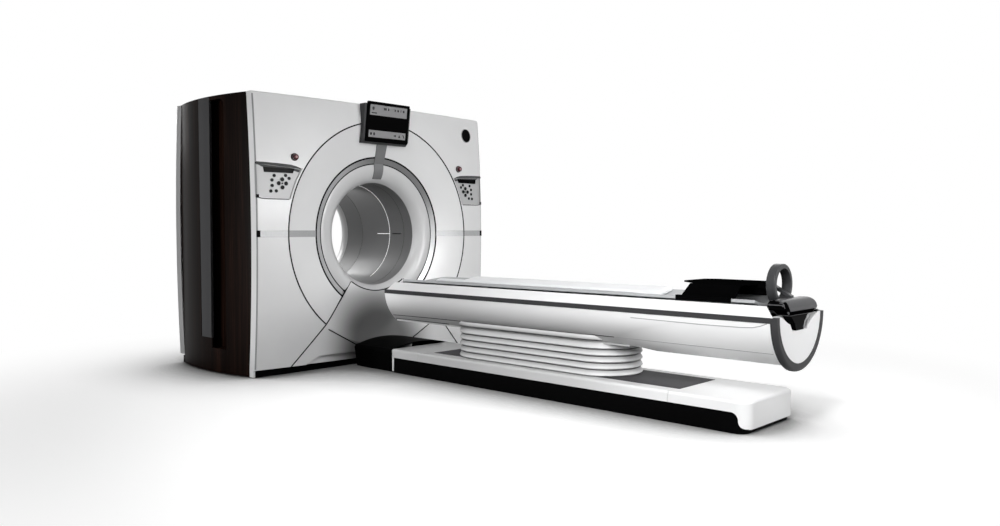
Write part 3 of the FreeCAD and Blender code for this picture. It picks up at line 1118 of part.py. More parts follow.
def cradle_drive():
    """Motor and gearbox that move the cradle, under the rails."""
    y, top = CRADLE_DRIVE_Y, RAIL_LOW_Z + RAIL_SHEET
    box = block(-70, 70, y - 90, y + 90, top + 60, top + 160)
    motor = rod((0, y + 90, top + 110), (0, y + 300, top + 110), 45)
    foot = block(-RAIL_X + FIT, RAIL_X - FIT, y - 60, y + 60, top + 50, top + 62)
    return fused([box, motor, foot])


def cradle_under(x):
    """Height of the cradle's underside at a distance from its middle."""
    rise = CRADLE_EDGE_LOW_Z - CRADLE_LOW_Z
    radius = (CRADLE_HALF_W**2 + rise**2) / (2 * rise)
    return CRADLE_LOW_Z + radius - math.sqrt(radius**2 - x**2)


def support_roller():
    """Waisted roller under the cradle's far end, shaped to the cradle's curve."""
    z = CRADLE_LOW_Z - FIT - ROLLER_R
    w = ROLLER_HALF_W
    r_mid, r_end = ROLLER_R, cradle_under(w) - FIT - z
    section = face(lambda x, r: V(x, ROLLER_Y, z + r),
                   [(-w, 0), (-w, r_end), ((0, r_mid), (w, r_end)), (w, 0)])
    roller = section.revolve(V(0, ROLLER_Y, z), V(1, 0, 0), 360)
    journals = [rod((s * (w - 1), ROLLER_Y, z), (s * (w + 12), ROLLER_Y, z), 8) for s in SIDES]
    return fused([roller] + journals)


def cradle_section(low_mid, low_edge, high_mid, high_edge, half_w, near, far):
    """Curved slab between two arcs, along Y."""
    return front_prism([(-half_w, low_edge), ((0, low_mid), (half_w, low_edge)), (half_w, high_edge),
                        ((0, high_mid), (-half_w, high_edge))], near, far)


def cradle():
    """Curved patient board with a rounded nose at the gantry end."""
    board = cradle_section(CRADLE_LOW_Z, CRADLE_EDGE_LOW_Z, CRADLE_IN_Z, CRADLE_EDGE_Z, CRADLE_HALF_W,
                           CRADLE_NEAR_Y, CRADLE_FAR_Y)
    w, far = CRADLE_HALF_W + 1, CRADLE_FAR_Y
    plan = plan_prism([(-w, CRADLE_NEAR_Y - 1), (-w, far - CRADLE_NOSE), ((-w * 0.72, far - 28), (-w * 0.3, far)),
                       (w * 0.3, far), ((w * 0.72, far - 28), (w, far - CRADLE_NOSE)), (w, CRADLE_NEAR_Y - 1)],
                      500, 800)
    return board.common(plan)


def board_space(near, far):
    """Room that the curved board takes up, with a seating gap above it."""
    return cradle_section(CRADLE_LOW_Z - 50, CRADLE_EDGE_LOW_Z - 50, CRADLE_IN_Z + FIT, CRADLE_EDGE_Z + FIT,
                          CRADLE_HALF_W, near, far)


def cradle_pad():
    """Mattress on the cradle, with bevelled ends."""
    rise = (CRADLE_EDGE_Z - CRADLE_IN_Z) * (PAD_HALF_W / CRADLE_HALF_W)**2
    pad = cradle_section(CRADLE_IN_Z + FIT, CRADLE_IN_Z + rise + FIT, PAD_MID_Z, PAD_EDGE_Z, PAD_HALF_W,
                         PAD_NEAR_Y, PAD_FAR_Y)
    ends = side_prism([(PAD_NEAR_Y, 600), (PAD_NEAR_Y, CRADLE_IN_Z), (PAD_NEAR_Y + PAD_BEVEL, PAD_EDGE_Z + 1),
                       (PAD_FAR_Y - PAD_BEVEL, PAD_EDGE_Z + 1), (PAD_FAR_Y, CRADLE_IN_Z), (PAD_FAR_Y, 600)],
                      -PAD_HALF_W - 1, PAD_HALF_W + 1)
    return pad.common(ends).cut(board_space(PAD_NEAR_Y - 1, PAD_FAR_Y + 1))


def carriage():
    """Truck under the cradle's near end that runs on both rails."""
    top = CRADLE_EDGE_LOW_Z + 20
    body = block(-CARRIAGE_HALF_W, CARRIAGE_HALF_W, CARRIAGE_NEAR_Y, CARRIAGE_FAR_Y, RAIL_TOP_Z + FIT, top)
    above = cradle_section(CRADLE_LOW_Z - FIT, CRADLE_EDGE_LOW_Z - FIT, CRADLE_IN_Z + 200, CRADLE_EDGE_Z + 200,
                           CRADLE_HALF_W, CARRIAGE_NEAR_Y - 1, CARRIAGE_FAR_Y + 1)
    keel = block(-RAIL_X + 2, RAIL_X - 2, CARRIAGE_NEAR_Y + 20, CARRIAGE_FAR_Y - 20, RAIL_TOP_Z - 12, RAIL_TOP_Z + 10)
    return fused([body.cut(above), keel])


def accessory_tray():
    """Black flat tray on slanted side wings that stand on the cradle's edges."""
    z, t = ACCESSORY_Z, ACCESSORY_THICK
    near, far, w = ACCESSORY_NEAR_Y, ACCESSORY_FAR_Y, ACCESSORY_HALF_W
    plate = plan_prism([(-w, near), (-w, far - 60), (-w + 40, far), (w - 40, far), (w, far - 60), (w, near)], z, z + t)
    pieces = [plate]
    for side in SIDES:
        x1 = CRADLE_HALF_W - WING_INSET
        wing = side_prism([(far - 5, CRADLE_IN_Z), (far - 86, z + 2), (near + 28, z + 2), (near + 75, CRADLE_IN_Z)],
                          side * (x1 - THIN), side * x1)
        web = block(side * (w - 20), side * x1, far - 90, near + 32, z - 4, z + 2)
        edge, top = CRADLE_HALF_W + FIT, CRADLE_EDGE_Z + FIT
        hook = block(side * (x1 - THIN), side * (edge + FOOT_THICK), near + 75, far - 5, top, top + FOOT_THICK)
        lip = block(side * edge, side * (edge + FOOT_THICK), near + 75, far - 5, top - FOOT_DROP, top + 1)
        pieces += [wing, web, hook, lip]
    tail = block(-TAIL_HALF_W, TAIL_HALF_W, near - TAIL_OUT, near + TAIL_IN, z - TAIL_H, z + t - 2)
    step = block(-STEP_HALF_W, STEP_HALF_W, near - TAIL_OUT / 2, near + TAIL_IN - 4, z - TAIL_H - STEP_H, z)
    return fused(pieces + [tail, step]).cut(board_space(near - 1, far + 1))


def ring_handle():
    """Upright ring on the cradle's near end with its slanted arm."""
    front, rear = RING_Y - RING_DEPTH / 2, RING_Y + RING_DEPTH / 2
    ring = tube((0, front, RING_Z), (0, rear, RING_Z), RING_R, RING_R - RING_SECTION)
    ring = rounded(ring, 7, lambda c, e: abs(e.Curve.Radius - RING_R) < 0.1 if hasattr(e.Curve, "Radius") else False)
    return ring


def handle_arm():
    """Flat bar that slants through the ring from the tray's tail to the handle."""
    y0, z0 = ACCESSORY_NEAR_Y - TAIL_OUT - FIT, ACCESSORY_Z - 14
    y1, z1 = HANDLE_FAR_Y - 30, HANDLE_HIGH_Z - 6
    bar = side_prism([(y0, z0), (y0, z0 + 20), (y1, z1 + 16), (y1, z1)], *ARM_X)
    return bar.cut(block(0, 60, y0, y1 - 1, z1 - 10, HANDLE_HIGH_Z + 1 + FIT))


def handle_block():
    """Grey rounded handle across the cradle's end, with the foot of the ring."""
    near, far, low, high = HANDLE_NEAR_Y, HANDLE_FAR_Y, HANDLE_LOW_Z, HANDLE_HIGH_Z
    w = HANDLE_HALF_W
    block_form = side_prism([(far, low + 30), (far, high - 12), ((far - 10, high - 2), (far - 26, high)),
                             ((near + 22, high - 12), (near + 6, high - 40)), (near, low + 26),
                             (near + 8, low), (far - 30, low)], -w, w)
    plan = front_prism([(-w, low + 34), (-w, high - 34), ((-w + 12, high - 10), (-w + 40, high + 1)),
                        (w - 40, high + 1), ((w - 12, high - 10), (w, high - 34)), (w, low + 34),
                        (w - 60, low - 1), (-w + 60, low - 1)], near - 1, far + 1)
    body = block_form.common(plan)
    neck = block(-120, 120, far - 40, CRADLE_NEAR_Y - FIT, RAIL_TOP_Z + 12, CRADLE_LOW_Z + 4)
    foot = block(-70, 70, RING_Y - RING_DEPTH / 2 + 4, RING_Y + RING_DEPTH / 2 - 4, CRADLE_LOW_Z, RING_Z - RING_R + 16)
    ring_space = rod((0, RING_Y - 200, RING_Z), (0, RING_Y + 200, RING_Z), RING_R + FIT)
    return fused([body.fuse(neck), foot.cut(ring_space)])


# ---------------------------------------------------------------- all sub-parts
def build():
    both = {side: {-1: "left", 1: "right"}[side] for side in SIDES}
    panels = [control_panel(side) for side in SIDES]
    nodes = {
        "gantry_plinth": [plinth()],
        "gantry_frame": [gantry_frame()],
        "bearing_outer_race": [outer_race()],
        "front_cover_left": [front_cover(-1)],
        "front_cover_right": [front_cover(1)],
        "front_ring_cover": [front_ring_cover()],
        "front_trim": front_trim(),
        "trim_windows": trim_windows(),
        "bore_funnel": [bore_funnel()],
        "front_lower_cover": [lower_cover()],
        "bore_liner": bore_liner(),
        "scan_window": [scan_window()],
        "rear_cover": rear_cover(),
        "side_covers": [side_cover(side) for side in SIDES],
        "side_grips": [side_grip(side) for side in SIDES],
        "top_cover": [top_cover()],
        "display_stem": [display_stem()],
        "display_housing": [display_housing()],
        "display_screen": [display_screen()],
        "control_panels": panels[0] + panels[1],
        "keypads": [keypad(side) for side in SIDES],
        "drive_motor": [drive_motor()],
        "drive_belt": [drive_belt()],
        "drive_pulley": [drive_pulley()],
        "rotor_drum": [rotor_drum()],
        "slip_ring": [slip_ring()],
        "xray_tube": [xray_tube()],
        "collimator": [collimator()],
        "detector_array": [detector_array()],
        "generator": generator(),
        "table_base_frame": [base_frame()],
        "table_base_cover": base_cover(),
        "table_end_cover": [end_cover()],
        "base_mat": [base_mat()],
        "docking_skirt": [docking_skirt()],
        "bellows": [bellows()],
        "column_middle_tubes": middle_tubes(),
        "table_subframe": [subframe()],
        "table_housing": [table_housing()],
        "edge_band": edge_band(),
        "end_panel": end_panel(),
        "deck_covers": deck_covers(),
        "cradle_drive_unit": [cradle_drive()],
        "support_roller": [support_roller()],
        "cradle": [cradle()],
        "cradle_pad": [cradle_pad()],
        "cradle_carriage": [carriage()],
        "accessory_tray": [accessory_tray()],
        "ring_handle": [ring_handle(), handle_arm()],
        "handle_block": [handle_block()],
    }
    for side, name in both.items():
        nodes["estop_" + name] = [estop(side)]
        for place in arrow_places():
            nodes["key_%s_%s" % (name, place)] = [arrow_key(side, place)]
    return nodes


def save(nodes):
    os.makedirs("parts", exist_ok=True)
    for name, shapes in nodes.items():
        solids = [solid for shape in shapes for solid in shape.Solids]
        whole = solids[0] if len(solids) == 1 else Part.makeCompound(solids)
        whole.exportStep("parts/%s.step" % name)


save(build())
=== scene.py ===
"""CT scanner: materials, soft parts and fine pieces over the fixed frame. Metres."""
import math

import bmesh
import bpy
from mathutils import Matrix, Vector

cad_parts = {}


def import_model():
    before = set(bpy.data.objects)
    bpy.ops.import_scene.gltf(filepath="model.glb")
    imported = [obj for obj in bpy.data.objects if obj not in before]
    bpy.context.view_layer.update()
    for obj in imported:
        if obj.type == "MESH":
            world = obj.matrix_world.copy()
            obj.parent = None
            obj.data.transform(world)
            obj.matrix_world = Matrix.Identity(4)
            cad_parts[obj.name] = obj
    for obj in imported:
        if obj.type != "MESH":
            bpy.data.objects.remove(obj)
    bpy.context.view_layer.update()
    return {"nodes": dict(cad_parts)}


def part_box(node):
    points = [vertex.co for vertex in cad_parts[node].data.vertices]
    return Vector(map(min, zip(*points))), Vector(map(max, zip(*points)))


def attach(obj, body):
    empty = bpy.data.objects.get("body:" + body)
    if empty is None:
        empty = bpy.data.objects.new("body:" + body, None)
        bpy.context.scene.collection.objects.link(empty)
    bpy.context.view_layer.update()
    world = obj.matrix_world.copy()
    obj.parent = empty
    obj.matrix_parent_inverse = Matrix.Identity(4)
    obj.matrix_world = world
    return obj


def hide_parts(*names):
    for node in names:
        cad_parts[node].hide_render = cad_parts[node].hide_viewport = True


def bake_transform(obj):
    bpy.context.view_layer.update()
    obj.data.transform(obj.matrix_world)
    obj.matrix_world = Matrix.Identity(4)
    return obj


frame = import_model()
NODES = frame["nodes"]
ISO = 0.9995                                  # height of the bore's axis
SIDES = ((-1, "left"), (1, "right"))

# ---------------------------------------------------------------- shader helpers
COAT_ROUGH = 0.1


def add(tree, kind, sockets=(), **settings):
    """New shader node with its settings and the numbers on its sockets."""
    node = tree.nodes.new("ShaderNode" + kind)
    for attribute, value in settings.items():
        setattr(node, attribute, value)
    for socket, value in dict(sockets).items():
        node.inputs[socket].default_value = value
    return node


def shader(mat):
    return mat.node_tree.nodes["Principled BSDF"]


def new_material(name, color, rough, metal=0.0, coat=0.0, spec=0.5, glow=0.0):
    mat = bpy.data.materials.new(name)
    mat.use_nodes = True
    inputs = shader(mat).inputs
    inputs["Base Color"].default_value = (*color, 1)
    inputs["Roughness"].default_value = rough
    inputs["Metallic"].default_value = metal
    inputs["Coat Weight"].default_value = coat
    inputs["Coat Roughness"].default_value = COAT_ROUGH
    inputs["Specular IOR Level"].default_value = spec
    if glow:
        inputs["Emission Color"].default_value = (1, 1, 1, 1)
        inputs["Emission Strength"].default_value = glow
    return mat


def into(mat, output, socket):
    mat.node_tree.links.new(output, shader(mat).inputs[socket])


def here(tree):
    """Place in object space."""
    return add(tree, "TexCoord").outputs["Object"]


def noise(mat, scale, detail=3.0, rough=0.55, stretch=(1, 1, 1)):
    """Noise factor in object space, stretched along the axes."""
    tree = mat.node_tree
    mapping = add(tree, "Mapping", {"Scale": stretch})
    texture = add(tree, "TexNoise", {"Scale": scale, "Detail": detail, "Roughness": rough})
    tree.links.new(here(tree), mapping.inputs["Vector"])
    tree.links.new(mapping.outputs["Vector"], texture.inputs["Vector"])
    return texture.outputs["Fac"]


def ramp(mat, factor, stops):
    """Colour of a factor, from stops of (position, colour)."""
    node = add(mat.node_tree, "ValToRGB")
    elements = node.color_ramp.elements
    while len(elements) < len(stops):
        elements.new(0.5)
    for element, (position, color) in zip(elements, stops):
        element.position = position
        element.color = (*color, 1)
    mat.node_tree.links.new(factor, node.inputs["Fac"])
    return node.outputs["Color"]


def bump(mat, height, strength, distance):
    node = add(mat.node_tree, "Bump", {"Strength": strength, "Distance": distance})
    mat.node_tree.links.new(height, node.inputs["Height"])
    into(mat, node.outputs["Normal"], "Normal")


def remap(tree, value, start, end, low, high, interpolation="SMOOTHSTEP"):
    """Turn the stretch of a number from start to end into low to high."""
    node = add(tree, "MapRange", {"From Min": start, "From Max": end, "To Min": low, "To Max": high},
               interpolation_type=interpolation)
    tree.links.new(value, node.inputs["Value"])
    return node.outputs["Result"]


def uneven_gloss(mat, factor, low, high):
    into(mat, remap(mat.node_tree, factor, 0.0, 1.0, low, high, "LINEAR"), "Roughness")


def graded(mat, direction, start, end, low, high):
    """Number that runs smoothly from low to high along a direction in object space."""
    tree = mat.node_tree
    dot = add(tree, "VectorMath", {1: direction}, operation="DOT_PRODUCT")
    tree.links.new(here(tree), dot.inputs[0])
    return remap(tree, dot.outputs["Value"], start, end, low, high)


def apart(tree, position, centre):
    """Distance of a position from a centre."""
    node = add(tree, "VectorMath", {1: centre}, operation="DISTANCE")
    tree.links.new(position, node.inputs[0])
    return node.outputs["Value"]


def arithmetic(mat, operation, a, b):
    node = add(mat.node_tree, "Math", operation=operation)
    mat.node_tree.links.new(a, node.inputs[0])
    mat.node_tree.links.new(b, node.inputs[1])
    return node.outputs[0]


def toned(mat, factor):
    """Scale the base colour by a factor that varies over the surface."""
    tree = mat.node_tree
    socket = shader(mat).inputs["Base Color"]
    scale = add(tree, "VectorMath", operation="SCALE")
    tree.links.new(socket.links[0].from_socket, scale.inputs[0])
    tree.links.new(factor, scale.inputs["Scale"])
    tree.links.new(scale.outputs["Vector"], socket)
    return mat


# ---------------------------------------------------------------- materials
WHITE = (0.76, 0.762, 0.766)
BASE_WHITE = (0.82, 0.823, 0.826)
DRIFT_SCALE, GLOSS_SCALE, GLOSS_SPREAD = 2.2, 14.0, 0.05
SKIN_SCALE, SKIN_STRENGTH, SKIN_DEPTH = 420.0, 0.25, 0.00012
EMBOSS_SCALE = 520.0


def moulded(name, color, rough, spread, coat=0.0, grain=SKIN_SCALE, depth=SKIN_DEPTH, spec=0.5):
    """Moulded or lacquered surface: slight tone drift, uneven gloss and a fine skin texture."""
    mat = new_material(name, color, rough, coat=coat, spec=spec)
    dark = tuple(c * (1 - spread) for c in color)
    light = tuple(min(1.0, c * (1 + spread * 0.5)) for c in color)
    into(mat, ramp(mat, noise(mat, DRIFT_SCALE, 4.0), [(0.3, dark), (0.7, light)]), "Base Color")
    uneven_gloss(mat, noise(mat, GLOSS_SCALE), rough - GLOSS_SPREAD, rough + GLOSS_SPREAD)
    bump(mat, noise(mat, grain, 2.0), SKIN_STRENGTH, depth)
    return mat


def brushed(name, color, rough, stretch, metal=0.9):
    """Metal with fine lines drawn along the stretch."""
    mat = new_material(name, color, rough, metal=metal)
    lines = noise(mat, 90.0, 3.0, 0.6, stretch)
    into(mat, ramp(mat, lines, [(0.3, tuple(c * 0.9 for c in color)), (0.7, color)]), "Base Color")
    uneven_gloss(mat, lines, rough - 0.06, rough + 0.08)
    return mat


def shadowed_lower_white():
    """White cover, darkened by painted shadow in the recess round the docking skirt."""
    mat = moulded("shadowed_lower_white", WHITE, 0.34, 0.03, coat=0.12)
    tree = mat.node_tree
    return toned(mat, remap(tree, apart(tree, here(tree), (-0.05, -0.58, 0.15)), 0.22, 0.60, 0.10, 1.0))


def shadowed_base_top():
    """White of the base cover, darkened by painted shadow where the table stands over it."""
    mat = moulded("shadowed_base_top", BASE_WHITE, 0.36, 0.02, coat=0.1)
    return toned(mat, graded(mat, (0, -1, 0), 2.6, 3.4, 0.72, 1.0))


def trough_white():
    """White of the table's trough: painted shade deepens it towards its underside, and none is painted near
    the free end.
    """
    mat = moulded("trough_white", (0.92, 0.923, 0.926), 0.36, 0.02, coat=0.1)
    under = graded(mat, (0, 0, 1), 0.405, 0.565, 0.48, 1.0)
    unshaded_free_end = graded(mat, (0, -1, 0), 2.5, 3.45, 0.0, 0.97)
    return toned(mat, arithmetic(mat, "MAXIMUM", under, unshaded_free_end))


def silver():
    """Brushed trim with a painted highlight low on the right and painted shade high on the right."""
    mat = brushed("trim_silver", (0.37, 0.373, 0.377), 0.38, (1, 1, 1), metal=0.35)
    painted_highlight_low_right = graded(mat, (1, 0, -1), 0.10 - ISO, 0.62 - ISO, 1.0, 2.4)
    painted_shade_high_right = graded(mat, (1, 0, 1), 0.05 + ISO, 0.55 + ISO, 1.0, 0.45)
    return toned(mat, arithmetic(mat, "MULTIPLY", painted_highlight_low_right, painted_shade_high_right))


def pleated():
    """Elastomer with painted shade in its creases and below its rim and a painted highlight on its ridges;
    the fold's share comes with the mesh.
    """
    mat = moulded("bellows_elastomer", (0.62, 0.622, 0.626), 0.46, 0.05, grain=260.0, spec=0.3)
    return toned(mat, add(mat.node_tree, "Attribute", attribute_name="fold").outputs["Fac"])


def wood():
    """Very dark brown veneer under gloss: long vertical grain with pores."""
    mat = new_material("dark_veneer", (0.012, 0.006, 0.004), 0.26, spec=0.010)
    broad = noise(mat, 5.0, 5.0, 0.6, (1.0, 1.6, 0.07))
    fine = noise(mat, 60.0, 6.0, 0.7, (1.0, 2.2, 0.03))
    mix = add(mat.node_tree, "Mix", {"Factor": 0.45}, data_type="FLOAT")
    mat.node_tree.links.new(broad, mix.inputs["A"])
    mat.node_tree.links.new(fine, mix.inputs["B"])
    into(mat, ramp(mat, mix.outputs["Result"], [(0.38, (0.0012, 0.0007, 0.0006)),
                                                (0.50, (0.0060, 0.0028, 0.0020)),
                                                (0.64, (0.0230, 0.0100, 0.0066))]), "Base Color")
    uneven_gloss(mat, fine, 0.22, 0.42)
    bump(mat, fine, 0.12, 0.0002)
    return mat


def fabric():
    """Wipe-clean coated cover with a fine leather-like emboss."""
    mat = new_material("pad_cover", (0.85, 0.86, 0.87), 0.55)
    shader(mat).inputs["Sheen Weight"].default_value = 0.25
    cells = add(mat.node_tree, "TexVoronoi", {"Scale": EMBOSS_SCALE})
    mat.node_tree.links.new(here(mat.node_tree), cells.inputs["Vector"])
    tone = noise(mat, 6.0, 4.0)
    into(mat, ramp(mat, tone, [(0.3, (0.78, 0.79, 0.80)), (0.7, (0.84, 0.85, 0.86))]), "Base Color")
    bump(mat, cells.outputs["Distance"], 0.35, 0.0004)
    return mat


MATERIALS = {
    "cover": moulded("cover_white", WHITE, 0.34, 0.03, coat=0.12),
    "lower": shadowed_lower_white(),
    "funnel": moulded("funnel_white", (0.56, 0.562, 0.566), 0.32, 0.03, coat=0.15),
    "base_white": moulded("base_white", BASE_WHITE, 0.36, 0.02, coat=0.1),
    "shadowed_base_top": shadowed_base_top(),
    "trough": trough_white(),
    "deck": moulded("deck_white", (0.86, 0.862, 0.865), 0.36, 0.02, coat=0.1),
    "end_white": moulded("end_white", (0.93, 0.932, 0.935), 0.36, 0.02, coat=0.1),
    "silver": silver(),
    # Grey of painted shade on the rounded outer edges of the front covers.
    "edge_shade_grey": moulded("edge_shade_grey", (0.27, 0.272, 0.275), 0.45, 0.05),
    "recess_shade": moulded("recess_shade", (0.085, 0.086, 0.088), 0.5, 0.05, spec=0.1),
    "fine_line": moulded("fine_line", (0.06, 0.06, 0.062), 0.6, 0.05, spec=0.05),
    "pale_line": moulded("pale_line", (0.42, 0.42, 0.425), 0.6, 0.05, spec=0.05),
    "stem": brushed("stem_silver", (0.15, 0.152, 0.155), 0.42, (4, 1, 0.2), metal=0.25),
    "housing": moulded("housing_grey", (0.055, 0.056, 0.058), 0.38, 0.06, spec=0.22),
    "liner": moulded("liner_grey", (0.215, 0.216, 0.218), 0.42, 0.06),
    "window_film": moulded("scan_film", (0.17, 0.172, 0.175), 0.30, 0.04, coat=0.1),
    "black_gloss": moulded("black_gloss", (0.0012, 0.0012, 0.0013), 0.14, 0.1, depth=0.00003, spec=0.015),
    "black": moulded("black_enamel", (0.0016, 0.0016, 0.0017), 0.45, 0.2, spec=0.015),
    "dock": moulded("dock_black", (0.0012, 0.0012, 0.0013), 0.55, 0.2, spec=0.012),
    "grip": moulded("grip_grey", (0.034, 0.034, 0.036), 0.34, 0.08, spec=0.06),
    "panel": moulded("panel_grey", (0.46, 0.46, 0.465), 0.34, 0.05, coat=0.05),
    "key": moulded("key_black", (0.004, 0.004, 0.0045), 0.38, 0.1, spec=0.12),
    "gasket": moulded("gasket_black", (0.004, 0.004, 0.0045), 0.6, 0.1, spec=0.05),
    "red": moulded("stop_red", (0.060, 0.010, 0.014), 0.28, 0.1, coat=0.1, spec=0.2),
    "red_collar": moulded("stop_collar", (0.028, 0.007, 0.009), 0.35, 0.1, spec=0.1),
    "red_face": moulded("stop_face", (0.36, 0.19, 0.20), 0.35, 0.1),
    "mat": moulded("floor_mat", (0.068, 0.067, 0.071), 0.62, 0.08, grain=900.0, depth=0.0004, spec=0.06),
    "bellows": pleated(),
    "band": moulded("band_grey", (0.048, 0.048, 0.050), 0.42, 0.06, spec=0.08),
    "board": moulded("board_grey", (0.42, 0.43, 0.44), 0.36, 0.05, coat=0.1),
    "tray": moulded("tray_black", (0.0018, 0.0018, 0.002), 0.5, 0.2, spec=0.0),
    "handle": moulded("handle_grey", (0.062, 0.062, 0.065), 0.34, 0.08, spec=0.15),
    "ring": moulded("ring_grey", (0.048, 0.049, 0.051), 0.32, 0.06, spec=0.15),
    "notch_black": moulded("notch_black", (0.0012, 0.0012, 0.0013), 0.4, 0.15, spec=0.012),
    "notch_grey": moulded("notch_grey", (0.36, 0.365, 0.37), 0.4, 0.05),
    "steel": brushed("machine_steel", (0.42, 0.42, 0.43), 0.32, (1, 0.1, 1)),
    "alloy": brushed("machined_alloy", (0.55, 0.56, 0.57), 0.35, (1, 0.15, 1)),
    "primer": moulded("frame_primer", (0.10, 0.11, 0.12), 0.55, 0.1),
    "motor": moulded("motor_grey", (0.05, 0.055, 0.065), 0.5, 0.1),
    "rubber": moulded("belt_rubber", (0.012, 0.012, 0.012), 0.8, 0.2),
    "tube": moulded("tube_enamel", (0.30, 0.31, 0.33), 0.4, 0.06),
    "slip": moulded("slip_epoxy", (0.22, 0.12, 0.03), 0.45, 0.1),
    "lift": moulded("lift_enamel", (0.05, 0.052, 0.055), 0.45, 0.1),
    "wood": wood(),
    "pad": fabric(),
    "glow": new_material("marker_light", (0.9, 0.9, 0.9), 0.5, glow=0.8),
    "screen_grey": moulded("screen_field", (0.24, 0.24, 0.245), 0.2, 0.05, coat=0.5, depth=0.00002),
    "screen_mark": moulded("screen_mark", (0.02, 0.02, 0.021), 0.2, 0.05, coat=0.5, depth=0.00002),
}

# Look of each node; the push keys, which aren't named here, take the key's.
LOOKS = {
    "gantry_plinth": "black", "gantry_frame": "primer", "bearing_outer_race": "steel",
    "front_cover_left": "cover", "front_cover_right": "cover", "front_ring_cover": "cover",
    "front_trim": "silver", "trim_windows": "black_gloss", "bore_funnel": "funnel",
    "front_lower_cover": "lower", "bore_liner": "liner", "scan_window": "window_film",
    "rear_cover": "cover", "side_covers": "wood", "side_grips": "grip", "top_cover": "cover",
    "display_stem": "stem", "display_housing": "housing", "display_screen": "black_gloss",
    "control_panels": "panel", "keypads": "key", "drive_motor": "motor", "drive_belt": "rubber",
    "drive_pulley": "alloy", "rotor_drum": "alloy", "slip_ring": "slip", "xray_tube": "tube",
    "collimator": "tube", "detector_array": "alloy", "generator": "alloy",
    "table_base_frame": "black", "table_base_cover": "shadowed_base_top", "table_end_cover": "shadowed_base_top",
    "base_mat": "mat", "docking_skirt": "dock", "column_middle_tubes": "lift", "table_subframe": "lift",
    "table_housing": "trough", "edge_band": "band", "end_panel": "end_white",
    "deck_covers": "deck", "cradle_drive_unit": "motor", "support_roller": "rubber",
    "cradle": "board", "cradle_carriage": "alloy", "accessory_tray": "tray", "ring_handle": "ring",
    "handle_block": "handle", "estop_left": "red", "estop_right": "red", "bellows": "bellows",
    "cradle_pad": "pad",
}

for node, obj in NODES.items():
    material = MATERIALS[LOOKS.get(node, "key")]
    if not obj.material_slots:
        obj.data.materials.append(material)
    for material_slot in obj.material_slots:
        material_slot.material = material

# ---------------------------------------------------------------- mesh helpers
MERGE = 1e-6
SHARP_ANGLE, BEVEL_ANGLE = math.radians(40), math.radians(35)


def piece(name, body, look, verts, faces, smooth=True, bevel=0.0, subdiv=0):
    """Mesh piece that rides on a body; with body None it is left without one."""
    mesh = bpy.data.meshes.new(name)
    mesh.from_pydata([tuple(v) for v in verts], [], faces)
    mesh.validate()
    bm = bmesh.new()
    bm.from_mesh(mesh)
    bmesh.ops.remove_doubles(bm, verts=bm.verts, dist=MERGE)
    bmesh.ops.recalc_face_normals(bm, faces=bm.faces)
    bm.to_mesh(mesh)
    bm.free()
    obj = bpy.data.objects.new(name, mesh)
    bpy.context.scene.collection.objects.link(obj)
    mesh.materials.append(MATERIALS[look])
    if bevel:
        mod = obj.modifiers.new("edges", "BEVEL")
        mod.width = bevel
        mod.segments = 3
        mod.limit_method = "ANGLE"
        mod.angle_limit = BEVEL_ANGLE
        mod.harden_normals = True
    if subdiv:
        mod = obj.modifiers.new("smooth", "SUBSURF")
        mod.levels = mod.render_levels = subdiv
    for poly in mesh.polygons:
        poly.use_smooth = smooth
    if smooth and not subdiv:
        mesh.set_sharp_from_angle(angle=SHARP_ANGLE)
    if body:
        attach(obj, body)
    return obj


def skin(rows, n, closed=False, capped=True):
    """Faces over rows of n points each; closed joins the last row to the first."""
    faces = []
    for j in range(rows if closed else rows - 1):
        a, b = j * n, (j + 1) % rows * n
        faces += [(a + k, a + (k + 1) % n, b + (k + 1) % n, b + k) for k in range(n)]
    if capped and not closed:
        faces += [tuple(range(n)), tuple((rows - 1) * n + k for k in reversed(range(n)))]
    return faces


def ring_band(name, look, profile, centre_z=ISO, steps=160, start=0.0, end=360.0):
    """Closed section (radius, y) swept about a line along y; angles from +X towards +Z."""
    full = abs(end - start) >= 359.9
    count = steps if full else steps + 1
    verts = []
    for i in range(count):
        a = math.radians(start + (end - start) * i / steps)
        verts += [(r * math.cos(a), y, centre_z + r * math.sin(a)) for r, y in profile]
    return piece(name, "base", look, verts, skin(count, len(profile), closed=full))


def prism(name, body, look, outline, to_point, depth, bevel=0.0, smooth=True):
    """Plate from an outline of pairs; to_point turns a pair and a depth into a point."""
    n = len(outline)
    verts = [to_point(u, v, 0.0) for u, v in outline] + [to_point(u, v, depth) for u, v in outline]
    faces = [tuple(range(n)), tuple(reversed(range(n, 2 * n)))]
    faces += [(i, (i + 1) % n, n + (i + 1) % n, n + i) for i in range(n)]
    return piece(name, body, look, verts, faces, smooth=smooth, bevel=bevel)


def ribbon(name, body, look, path, normal, width, proud=0.0006, thick=0.003):
    """Flat strip laid along a path on a surface; normal is one vector or a function of a point."""
    path = [Vector(p) for p in path]
    verts = []
    for i, p in enumerate(path):
        ahead = path[min(i + 1, len(path) - 1)] - path[max(i - 1, 0)]
        up = Vector(normal(p) if callable(normal) else normal).normalized()
        side = ahead.cross(up).normalized() * (width / 2)
        verts += [p + up * proud - side, p + up * proud + side,
                  p - up * thick + side, p - up * thick - side]
    return piece(name, body, look, verts, skin(len(path), 4), smooth=False)


def oval(x, z, half_x, half_z, count):
    turns = [2 * math.pi * i / count for i in range(count)]
    return [(x + half_x * math.cos(a), z + half_z * math.sin(a)) for a in turns]


def disc(x, z, r, count):
    return oval(x, z, r, r, count)


def rect(x0, x1, z0, z1):
    return [(x0, z0), (x1, z0), (x1, z1), (x0, z1)]


def arc_points(r, start, end, steps=150):
    """Points on a circle about the bore's axis."""
    turns = [math.radians(start + (end - start) * i / steps) for i in range(steps + 1)]
    return [(r * math.cos(a), ISO + r * math.sin(a)) for a in turns]


